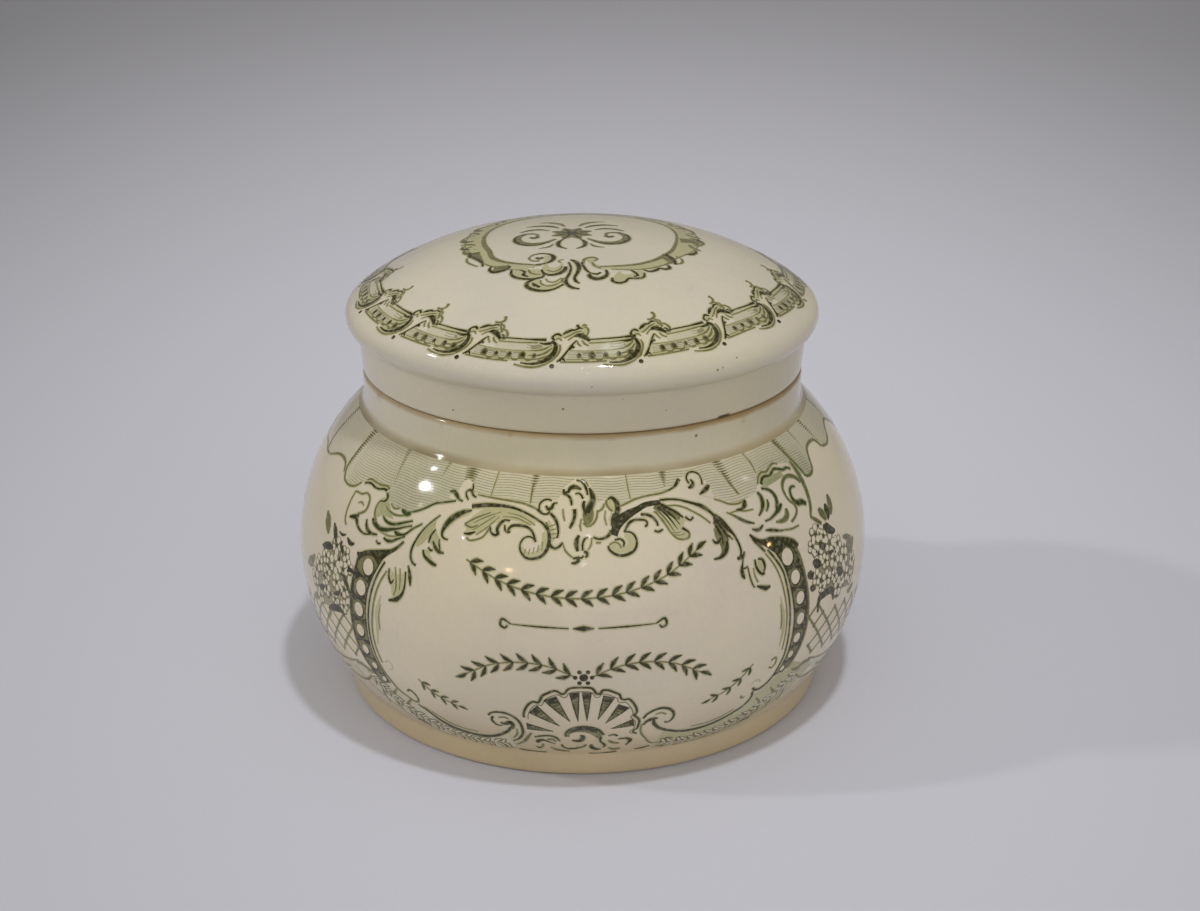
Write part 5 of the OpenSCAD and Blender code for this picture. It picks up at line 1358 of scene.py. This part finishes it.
def curtain():
    p = drape
    for run in curtainHem:
        fill("wash", [(a, curtainTop) for a in np.linspace(run[0][0], run[-1][0], 8)], run)
    angles = np.arange(-p["ends"], p["ends"], 0.5)
    hem = [hemHeight(a) for a in angles]
    level = p["lowest"]
    while level < curtainTop:
        # the engraver's level lines, broken where the hem rises past them
        start = None
        for a, low in zip(angles, hem):
            inside = low + p["clear"] < wavy(a, level)
            if inside and start is None:
                start = a
            if start is not None and (not inside or a == angles[-1]):
                if a - start > p["shortest"]:
                    run = [(b, wavy(b, level)) for b in np.arange(start, a, p["shortest"])]
                    crisp("hatch", (.05, .11, .11, .05), run + [(a, level)])
                start = None
        level += p["spacing"]
    for angle, lean, reach, wide in curtainFolds:
        rows = int(reach / p["spacing"])
        for k in range(rows):
            t = k / rows
            here, half = angle + lean * t, wide * (1 - t) ** 0.8 / 2
            level = curtainTop - p["foldDrop"] - p["spacing"] * k
            crisp("mid" if wide > p["heavyFold"] else "hatch", (.06, .38 - .2 * t, .06),
                  [(here - half, level), (here, level), (here + half, level)])
    drawn(curtainLines)
    filled(curtainCovers)


bead = dict(size=0.84, tall=1.12, rim=(0.95, 1.08), rimTurn=(-2.6, 0.9), shade=(0.9, 0.6, 0.7), waist=0.2)


def beadString(p):
    # Beads on a dark ground, beside a moulding
    moulding = p["moulding"]
    ground = [(a - moulding * math.copysign(1, a), s) for a, s in p["outside"]]
    fill("mid", ground, p["inside"])
    stroke("ink", (.5, 1, .95, .8, .4), ground)
    if moulding:
        stroke("mid", (.3, .35, .35, .3, .25), [(a + 0.1, s) for a, s in p["outside"]])
    stroke("ink", (.3, .35, .3, .25), p["inside"])
    edges = [smooth(edge, 0.4)[0][::-1] for edge in (ground, p["inside"])]
    for angle, along, r in p["beads"]:
        dot("bare", (angle, along), r * bead["size"], tall=bead["tall"])
        wide, tall = bead["rim"][0] * r / degreeAt(along), bead["rim"][1] * r
        crisp("line", (.15, .35, .45, .3, .12), [(angle + wide * math.cos(t), along + tall * math.sin(t))
                                                 for t in np.linspace(*bead["rimTurn"], 7)])
    for (_, upper, _), (_, lower, r) in zip(p["beads"], p["beads"][1:]):
        # the ground is darkest between two beads
        level = (upper + lower) / 2
        left, right = [np.interp(level, edge[:, 1], edge[:, 0]) for edge in edges]
        middle, (wide, over, under) = (left + right) / 2, [share * r for share in bead["shade"]]
        fill("ink", [(left, level + wide), (middle, level + bead["waist"]), (right, level + over)],
             [(left, level - wide), (middle, level - bead["waist"]), (right, level - under)])


flower = dict(     # shares of a blossom's radius
    petals=5, at=0.64, shade=0.52, shadeRise=-0.08, petal=0.33, uneven=0.03, petalRise=0.02,
    spotAt=1.02, spot=0.15, spotTall=1.4, eye=0.18, size=1.4, sizeUneven=0.2,
)


def blossom(angle, along, r, turn):
    # Five round petals, each with a dark rim, round a dark eye
    p = flower
    degree = degreeAt(along)

    def out(share, a, rise=0.0):
        return angle + share * r * math.cos(a) / degree, along + share * r * math.sin(a) + rise * r

    for k in range(p["petals"]):
        a = turn + k * tau / p["petals"]
        petal = p["petal"] + p["uneven"] * math.sin(3 * turn + 2 * k)
        dot("mid", out(p["at"], a, p["shadeRise"]), p["shade"] * r, sides=9)
        dot("bare", out(p["at"], a, p["petalRise"]), petal * r, sides=9)
        if k == round(3 * turn) % p["petals"]:
            gap = a + tau / (2 * p["petals"])
            dot("line", out(p["spotAt"], gap), p["spot"] * r, p["spotTall"], sides=7)
    dot("line", (angle, along), p["eye"] * r, sides=7)


def posy(p):
    fill("hatch", *p["ground"])
    for i, (angle, along, r) in enumerate(p["blossoms"]):
        blossom(angle, along, (flower["size"] + flower["sizeUneven"] * math.sin(5.0 * i)) * r, 0.9 * i)
    for tone, widths, points in p["leaves"]:
        stroke("line" if tone == "line" else "mid", p["weight"] * np.array(widths), points)


def within(p, angle, along):
    # Whether a place is inside the trellis's field, at either side
    low, top = [np.interp(abs(angle), *zip(*p[edge])) for edge in ("low", "top")]
    return low < along < top and p["between"][0] < abs(angle) < p["between"][1]


def trellisWork(p, side):
    for i in range(-14, 15):
        for j in range(-14, 20):
            node = [p["node"][k] + i * p["steep"][k] + j * p["flat"][k] for k in (0, 1)]
            if not within(p, *node):
                continue
            dot("mid", (side * node[0], node[1]), p["knot"], sides=8)
            for way, width in ((p["steep"], p["steepWidth"]), (p["flat"], p["flatWidth"])):
                end = (node[0] + way[0], node[1] + way[1])
                if within(p, *end):
                    stroke("mid", width, flipped([node, end], side))


def lowLeaves(p, side):
    # Pairs of pale leaves on a stem along the low ground
    upper, lower, run = [flipped(points, side)
                         for points in (p["upper"][0 if side > 0 else 1], p["lower"], p["run"])]
    fill("pale" if side > 0 else "wash", upper, lower)
    line = smooth(run, p["step"])[0]
    steps = flat(line)
    for k in range(1, len(line) - 1):
        size = p["leaf"] * (1 if k % 2 else p["small"])
        lean = p["lean"][0] + p["lean"][1] * math.sin(2.3 * k)
        for way in (-1, 1):
            turn = heading(steps, k - 1, k + 1) + way * lean
            leaf("mid", line[k], size, turn, p["fat"], False)
            leaf("bare", line[k] + [0, 0.05], p["core"][0] * size, turn, p["core"][1] * p["fat"], False)
    crisp("mid", (.2, .45, .3, .5, .3, .45, .2), run)
    stroke("hatch", (.3, .5, .4, .5, .3), lower)


shellShades = [
    ("mid", [(-3.4, -16.8), (-3.4, -15.8), (-2.6, -14.9), (-1.4, -14.3), (0, -14.1), (1.5, -14.3),
        (2.7, -14.9), (3.6, -16)], [(-2.9, -16.9), (-2.7, -16), (-1.8, -15.5), (-.5, -15.4), (.8, -15.7),
        (1.8, -16.4), (2.5, -17.2), (3.2, -17.8)]),
    ("ink", [(-2.8, -15.2), (-1.4, -14.4), (0, -14.2), (1.5, -14.4), (2.7, -15)], [(-2.4, -15.6),
        (-1.3, -15), (0, -14.9), (1.3, -15.2), (2.4, -15.9)]),
]
shellHub, shellInner, shellRungs = (0, -17.0), 0.93, (0.3, 0.42, 0.54)


def toPoint(a, b, share):
    # The place a share of the way from one to another
    return tuple(np.array(a) * (1 - share) + np.array(b) * share)


def shellPrint():
    stroke("ink", (.35, .45, .35, .45, .35, .45, .35), shellEdge)
    crisp("mid", (.15, .2, .15, .2, .15), [toPoint(shellHub, spot, shellInner) for spot in shellEdge])
    for a, b, foot in shellFolds:
        middles = [np.array(toPoint(end, foot, 0.5)) + [0, 0.1] for end in (a, b)]
        fill("mid", [a, middles[0], foot], [b, middles[1], foot])
        fill("ink", [a, toPoint(a, foot, 0.22)], [b, toPoint(b, foot, 0.22)])
        crisp("ink", (.3, .3, .12), [a, foot])
        crisp("ink", (.25, .25, .1), [b, foot])
        for share in shellRungs:
            crisp("ink", (.12, .16, .12), [toPoint(a, foot, share), toPoint(b, foot, share)])
    filled(shellShades)
    drawn(shell)


crestShades = [
    ("pale", [(-24, 20), (-21, 22.3), (-17, 22.9), (-13, 22.5), (-9.6, 21.2)], [(-23.4, 18), (-20, 19),
        (-17.6, 20.6), (-14, 21.2), (-10.4, 20.6)]),
    ("pale", [(-11.8, 17.4), (-10.4, 16.5), (-8.8, 16.9), (-8.1, 18.2), (-8.1, 19.6)], [(-11.9, 16.7),
        (-10, 15.8), (-8, 16.4), (-7, 17.9), (-7.2, 19.9)]),
    ("pale", [(-7.1, 21.8), (-6.2, 21), (-5.6, 19.6), (-5.6, 18.4)], [(-7, 20.8), (-6.7, 20), (-6.4, 19),
        (-6.3, 18.3)]),
    ("pale", [(-38.4, 9.8), (-37.4, 9.2), (-36, 9.6), (-35, 9.8)], [(-38, 7.2), (-37.4, 5.4), (-36.2, 5.6),
        (-35.3, 7.4)]),
    ("pale", [(-33.8, 16), (-32, 18), (-30.6, 19.2)], [(-32.8, 15), (-31.2, 16.4), (-30.2, 17.2)]),
    ("pale", [(-47, 18.6), (-45.6, 20.2), (-43, 19.2)], [(-46, 16.4), (-44, 17.4), (-41, 17.4)]),
    # dark body of the right-hand scroll, and the leaf that falls from it
    ("ink", [(5.5, 19.4), (5.7, 20.8), (6.6, 22), (8, 22.7), (9.5, 23.2), (11, 23.5), (12.5, 24),
        (14, 24.2), (16.5, 24.2)], [(6.7, 19), (7.2, 20), (8.2, 20.9), (9.3, 21.6), (10.5, 22.2),
        (12, 22.8), (13, 23.2), (14.5, 23.4), (16.5, 23.4)]),
    ("pale", [(15, 23), (17, 22.8), (19.4, 21.8), (21, 20.4)], [(14.8, 22.4), (16.2, 20.6), (17, 19.4),
        (18.6, 18.2)]),
    ("pale", [(17, 20.4), (18.6, 20.2), (20, 19.4), (21, 18.5)], [(17, 19.2), (18, 18.2), (19.4, 17.8),
        (20.8, 17.8)]),
    ("mid", [(15.4, 24), (16.8, 23.6), (18.6, 22.6), (20.2, 21.2)], [(14.6, 22.9), (16, 22.4),
        (17.6, 21.6), (19.6, 20.6)]),
    ("pale", [(8.2, 19.6), (9.9, 18.8), (9.9, 17.4), (8.4, 16.6), (6.4, 16.7), (5.2, 17.5)], [(8, 18.9),
        (8.6, 18.4), (8.5, 17.7), (7.7, 17.4), (6.8, 17.6), (6, 18)]),
    ("mid", [(27, 20), (26.8, 18.4), (26.4, 17.2), (26.9, 16)], [(28.8, 19.2), (29.4, 17.8), (29.4, 16.8),
        (28.8, 15.4)]),
    ("mid", [(26.9, 16), (27.3, 15.2), (27, 14.4), (26.4, 13.9)], [(28.8, 15.6), (28.5, 14.8),
        (27.8, 14.2), (26.8, 13.7)]),
    ("pale", [(-30.2, 17.8), (-31, 16.6), (-30.6, 15.4)], [(-28.6, 16.4), (-28.8, 15.4), (-29.4, 15)]),
    ("pale", [(-30.4, 19.6), (-32.6, 17.2), (-34, 14.8)], [(-31, 17.6), (-32, 15.6), (-33.4, 14.4)]),
    ("pale", [(-32, 14.4), (-31, 13.4), (-29.4, 12.6)], [(-30.6, 14.4), (-30, 13.6), (-29.2, 12.9)]),
    ("pale", [(-34.8, 11.2), (-34.4, 10), (-33.8, 8.6)], [(-33.9, 10.6), (-33.4, 9.4), (-33.3, 8.4)]),
    ("pale", [(-28.6, 19.6), (-27, 21), (-24, 22)], [(-27.6, 18.4), (-26, 20), (-23.6, 21.2)]),
    ("pale", [(6, 25), (6.9, 24), (6.7, 22.6), (5.8, 21.4)], [(5.2, 24.3), (5.6, 23.6), (5.6, 22.6),
        (5, 21.6)]),
    ("pale", [(41.4, 23), (43.4, 24), (46, 23.8), (49, 23.8)], [(42, 22.2), (44, 22.4), (46.4, 22.6),
        (49, 22.9)]),
    ("pale", [(34.4, 11.8), (34.8, 10.4), (35.6, 9.9)], [(35.4, 11.6), (35.9, 11), (35.8, 10.3)]),
    # the ground under the scrolls, where the bead strings start
    ("ink", [(-48.4, 10), (-46, 10.7), (-44.5, 11.2), (-42.5, 11.7), (-41, 12.1), (-39.5, 12.5),
        (-37.6, 13.6)], [(-47.4, 9), (-46.6, 9.8), (-45, 10.5), (-43.2, 10.5), (-42, 9.6), (-41, 10.8),
        (-38.2, 12.9)]),
    ("ink", [(34.6, 15.6), (36, 14.7), (38.6, 14.4), (41.6, 13.7), (44.4, 12.5), (45.3, 11.2)],
        [(35.6, 14.4), (37.6, 13.2), (39.4, 11.9), (40.4, 11.6), (42.2, 12.3), (44.2, 11.6)]),
]


def crest():
    dot("bare", (-26.1, 25.9), .8)
    filled(crestShades)
    # short lines in the hollows of the scrolls
    for k in range(5):
        crisp("mid", .13, [(-11.3 + .85 * k, 16.1 + .05 * k * k), (-11 + .8 * k, 17 + .08 * k * k)])
    for k in range(4):
        crisp("mid", .16, [(-6.9 + .2 * k, 20.6 - .6 * k), (-5.5 + .1 * k, 21 - .7 * k)])
    for k in range(6):
        level = 28.5 - .4 * k
        crisp("mid", (.1, .34, .1), [(-27.8 + .12 * k, level), (-26, level + .1), (-24.1 - .12 * k, level)])
    for group in (crestLeft, tieLeft, crestRight, palmette):
        drawn(group)


# Small rosette where the two sprays meet
sprayEye = dict(at=-3.4, r=0.7, dots=6, reach=(1.5, 1.15), dotR=0.38)


def frontPrint():
    curtain()
    crest()
    drawn(cartouche)
    for string in beadStrings:
        beadString(string)
    shellPrint()
    for flowers in posies:
        posy(flowers)
    for side in (-1, 1):
        trellisWork(trellis, side)
        lowLeaves(lowGround, side)
        drawn(borderLow, lambda points: flipped(points, side))
    for spray in [festoon] + sprays + sprigs:
        branch(spray)
    drawn(rule)
    dot("ink", (0, sprayEye["at"]), sprayEye["r"])
    for k in range(sprayEye["dots"]):
        a = k * tau / sprayEye["dots"]
        spot = (sprayEye["reach"][0] * math.cos(a), sprayEye["at"] + sprayEye["reach"][1] * math.sin(a))
        dot("ink", spot, sprayEye["dotR"], sides=9)


def lidBorderPrint():
    p = lidBorder

    def around(points):
        # Places off the ribbon's middle line, from degrees past its crossing and mm outwards
        places = []
        for past, out in points:
            angle = (crossing + past + 180) % 360 - 180
            places.append((crossing + past, float(np.interp(angle, *zip(*p["middle"]))) + out))
        return places

    for crossing in p["crossings"]:
        filled(p["shades"], around)
        for level in p["bandLines"]:
            crisp("hatch", (.1, .16, .1), around([(3.6, level), (9, level), (17.6, level)]))
        for level in p["foldLines"]:
            crisp("hatch", .14, around([(-6.4, level + .5), (-4, level + .6), (-1.6, level)]))
        drawn(p["strokes"] + (p["tip"] if crossing in p["plain"] else p["curl"]), around)
        for k, gap in enumerate(p["gaps"]):
            # a bead's round underside, and the dark gap beside it
            wide = 1 + 0.25 * math.sin(2.1 * k + crossing)
            crisp("mid", (.1, .3, .3, .1), around([(gap + past, out) for past, out in p["underside"]]))
            crisp("hatch", (.2, .4, .2), around([(gap + past, out) for past, out in p["cheek"]]))
            for tone, ((past, out), r, tall), sides in (("mid", p["bead"], 9), ("line", p["beadCore"], 8)):
                dot(tone, around([(gap + past, out)])[0], r * wide, tall, sides)
        spot, r = p["crossingDot"]
        dot("ink", around([spot])[0], r, sides=10)


def wreathPrint():
    fill("pale", wreathInside, wreathOutside)
    stroke("mid", (.4, .6, .9, .9, .6, .5, .45, .4, .4, .45, .6, .8, .7, .4), wreathInside)
    stroke("mid", (.2, .35, .2, .4, .2, .35, .2, .4, .2), wreathOutside)
    core = [((2 * a + b) / 3, (2 * c + d) / 3) for (a, c), (b, d) in zip(wreathInside, wreathOutside)]
    crisp("hatch", (.8, 1.1, .7, 1.1, .7, 1.1, .7, 1.1, .8), core)
    filled(wreathShades)
    drawn(wreath)
    for angle in lobesAt:
        cos, sin = math.cos(math.radians(angle)), math.sin(math.radians(angle))
        lobe = [(tone, 1.25 * np.array(widths), points) for tone, widths, points in wreathLobe]
        drawn(lobe, lambda points: [(x * cos + y * sin, y * cos - x * sin - 0.6) for x, y in points])


def rosettePrint():
    p = rosette
    x0, y0 = p["at"]
    for k in range(p["petals"]):
        a = (k + 0.5) * tau / p["petals"]
        foot, tip = [(x0 + r * math.cos(a), y0 + r * math.sin(a)) for r in (p["foot"], p["petal"])]
        stroke("mid", (.5, 1.5, 1.9, 1.2, .3), [foot, toPoint(foot, tip, 0.5), tip])
        crisp("ink", (.4, .5, .1), [foot, tip])
    dot("ink", (x0, y0), p["eye"])
    for side in (1, -1):
        drawn(p["side"], lambda points: [(x0 + side * x, y) for x, y in points])


def laid(sheet, body, materials):
    # Makes a piece of each film that was drawn
    for tone, film in sheets[sheet].items():
        name = sheet + tone.capitalize()
        mesh = bpy.data.meshes.new(name)
        points = np.vstack(film["points"]) * mm
        mesh.from_pydata(points.tolist(), [], film["faces"])
        mesh.polygons.foreach_set("use_smooth", [True] * len(mesh.polygons))
        mesh.normals_split_custom_set_from_vertices(np.vstack(film["normals"]).tolist())
        mesh.materials.append(materials[tone])
        piece = bpy.data.objects.new(name, mesh)
        bpy.context.collection.objects.link(piece)
        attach(piece, body)
        print(name, len(mesh.polygons), "faces")


pen.update(sheet="jarPrint", surface=belly)
for turn in (0, 180):
    pen["turn"] = turn      # the back repeats the front
    frontPrint()
pen.update(sheet="lidPrint", surface=dome, turn=0)
lidBorderPrint()
pen["surface"] = crown
wreathPrint()
rosettePrint()

laid("jarPrint", "jar", printMaterials)
laid("lidPrint", "lid", printMaterials)


def floorMaterial(p):
    # the floor's colour holds a painted fall-off of light, darker to the back and the sides
    made, tree = material("paleFloor")
    at = placeOn(tree, add(tree, "TexCoord").outputs["Object"])
    nearY, farY, plainAt = p["floorReach"]
    y = worked(tree, "MAXIMUM", worked(tree, "MINIMUM", at["Y"], farY), nearY)
    edge = plus(tree, times(tree, y, p["floorField"][1]), p["floorField"][0])
    x = worked(tree, "MAXIMUM", worked(tree, "MINIMUM", at["X"], edge), times(tree, edge, -1.0))
    paintedFalloff = p["floorFalloff"][3]
    for share in p["floorFalloff"][2::-1]:
        paintedFalloff = plus(tree, times(tree, y, paintedFalloff), share)
    sideways = plus(tree, times(tree, y, p["floorAcross"][1]), p["floorAcross"][0])
    sideways = times(tree, times(tree, x, x), sideways)
    paintedFalloff = plus(tree, paintedFalloff, plus(tree, sideways, times(tree, x, p["floorLean"])))
    away = worked(tree, "SQRT", plus(tree, times(tree, at["X"], at["X"]), times(tree, at["Y"], at["Y"])))
    tone = worked(tree, "EXPONENT", times(tree, paintedFalloff, ramped(tree, away, plainAt, plainAt * 0.5)))
    tint = add(tree, "CombineColor", {0: tone, 1: tone, 2: tone}).outputs[0]
    shader = add(tree, "BsdfPrincipled", {"Base Color": mixed(tree, 1.0, p["floor"], tint, "MULTIPLY"),
                                          "Roughness": p["floorRoughness"]})
    tree.links.new(shader.outputs[0], add(tree, "OutputMaterial").inputs[0])
    return made


studio = dict(
    floorR=4.0, floor=colour(226, 227, 240), floorRoughness=0.7,
    # painted fall-off of the lamps' light: the floor darkens to the back and the sides: powers of y, then x,
    # then x squared and its share with y
    floorFalloff=(-0.065, 0.76, -2.2, 1.05), floorLean=0.276, floorAcross=(-9.04, 7.85),
    floorField=(0.21, 0.22), floorReach=(-0.10, 0.90, 2.0), backdrop=colour(178, 178, 182),
    ambient=0.365, front=0.76, frontPower=2.0, ambientColour=(1.0, 0.96, 0.89), mirrored=0.62,
    # lamps: place, size, watts, tint. All of them aim at the pot.
    aim=(0, 0, 0.04),
    lamps=dict(overheadLamp=((0.078, -0.165, 0.65), 0.045, 1.1, (0.95, 0.97, 0.98)),
               leftLamp=((-1.583, -0.113, 1.25), 0.10, 4.8, (1, 1, 1))),
    # small bulbs that only show as glints on the glaze
    glints=[((0.028, -0.737, 0.618), 0.016, 0.02, (1, 1, 1)),
            ((0.737, -0.009, 0.600), 0.014, 0.016, (1, 1, 1)),
            ((0.897, -0.22, 0.194), 0.018, 0.04, (1, 0.62, 0.28)),
            ((-0.435, -0.787, 0.323), 0.02, 0.07, (1, 0.66, 0.35)),
            ((-0.65, -0.521, 0.469), 0.016, 0.035, (1, 1, 1)),
            ((-0.794, -0.17, 0.512), 0.016, 0.02, (1, 1, 1)),
            ((-1.42, 0.08, 1.43), 0.07, 0.4, (1, 1, 1)), ((0.115, 0.055, 0.96), 0.09, 0.05, (0.85, 0.92, 1)),
            ((0.002, -0.861, 0.421), 0.012, 0.014, (1, 1, 1)), ((0, -0.34, 0.899), 0.012, 0.012, (1, 1, 1))],
)


def lamp(name, at, size, watts, tint):
    light = bpy.data.lights.new(name, "AREA")
    light.shape = "DISK"
    light.size = size
    light.energy = watts
    light.color = tint
    made = bpy.data.objects.new(name, light)
    made.location = at
    x, y, z = np.array(studio["aim"]) - np.array(at)
    made.rotation_euler = (math.atan2(math.hypot(x, y), -z), 0, math.atan2(y, x) - math.pi / 2)
    bpy.context.collection.objects.link(made)
    return made


for name, settings in studio["lamps"].items():
    lamp(name, *settings)
for i, settings in enumerate(studio["glints"]):
    lamp("glint" + str(i), *settings).visible_diffuse = False
print("lamps placed")

bpy.ops.object.select_all(action="DESELECT")
bpy.ops.mesh.primitive_circle_add(vertices=96, radius=studio["floorR"], fill_type="NGON", location=(0, 0, 0))
floor = bpy.context.active_object
floor.name = "floor"
floor.data.materials.append(floorMaterial(studio))

# an even room that is lighter towards the front, low down
world = bpy.data.worlds.new("studio")
bpy.context.scene.world = world
world.use_nodes = True
room = world.node_tree
sky = room.nodes["Background"]
way = placeOn(room, add(room, "TexCoord").outputs["Generated"])
forward = worked(room, "MAXIMUM", times(room, way["Y"], -1.0), 0.0)
glow = times(room, worked(room, "POWER", forward, studio["frontPower"]), studio["front"])
glow = plus(room, glow, studio["ambient"])
sky.inputs["Color"].default_value = studio["ambientColour"] + (1,)
# the glaze mirrors a darker room than the one that lights it
glossy = add(room, "LightPath").outputs["Is Glossy Ray"]
dimmed = ramped(room, glossy, 0.0, 1.0, 1.0, studio["mirrored"])
room.links.new(times(room, glow, dimmed), sky.inputs["Strength"])
seen = add(room, "LightPath").outputs["Is Camera Ray"]
backdrop = add(room, "Background", {"Color": studio["backdrop"], "Strength": 1.0})
shown = add(room, "MixShader", {0: seen, 1: sky.outputs[0], 2: backdrop.outputs[0]})
room.links.new(shown.outputs[0], room.nodes["World Output"].inputs[0])

lens = dict(at=(0.0, -0.2938, 0.1561), pitch=68.30, yaw=-0.59, long=53.7, sensor=36, nearest=0.01)

cameraData = bpy.data.cameras.new("camera")
cameraData.lens = lens["long"]
cameraData.sensor_width = lens["sensor"]
cameraData.clip_start = lens["nearest"]
camera = bpy.data.objects.new("camera", cameraData)
camera.location = lens["at"]
camera.rotation_euler = (math.radians(lens["pitch"]), 0, math.radians(lens["yaw"]))
bpy.context.collection.objects.link(camera)
bpy.context.scene.camera = camera
bpy.context.scene.view_settings.view_transform = "Standard"
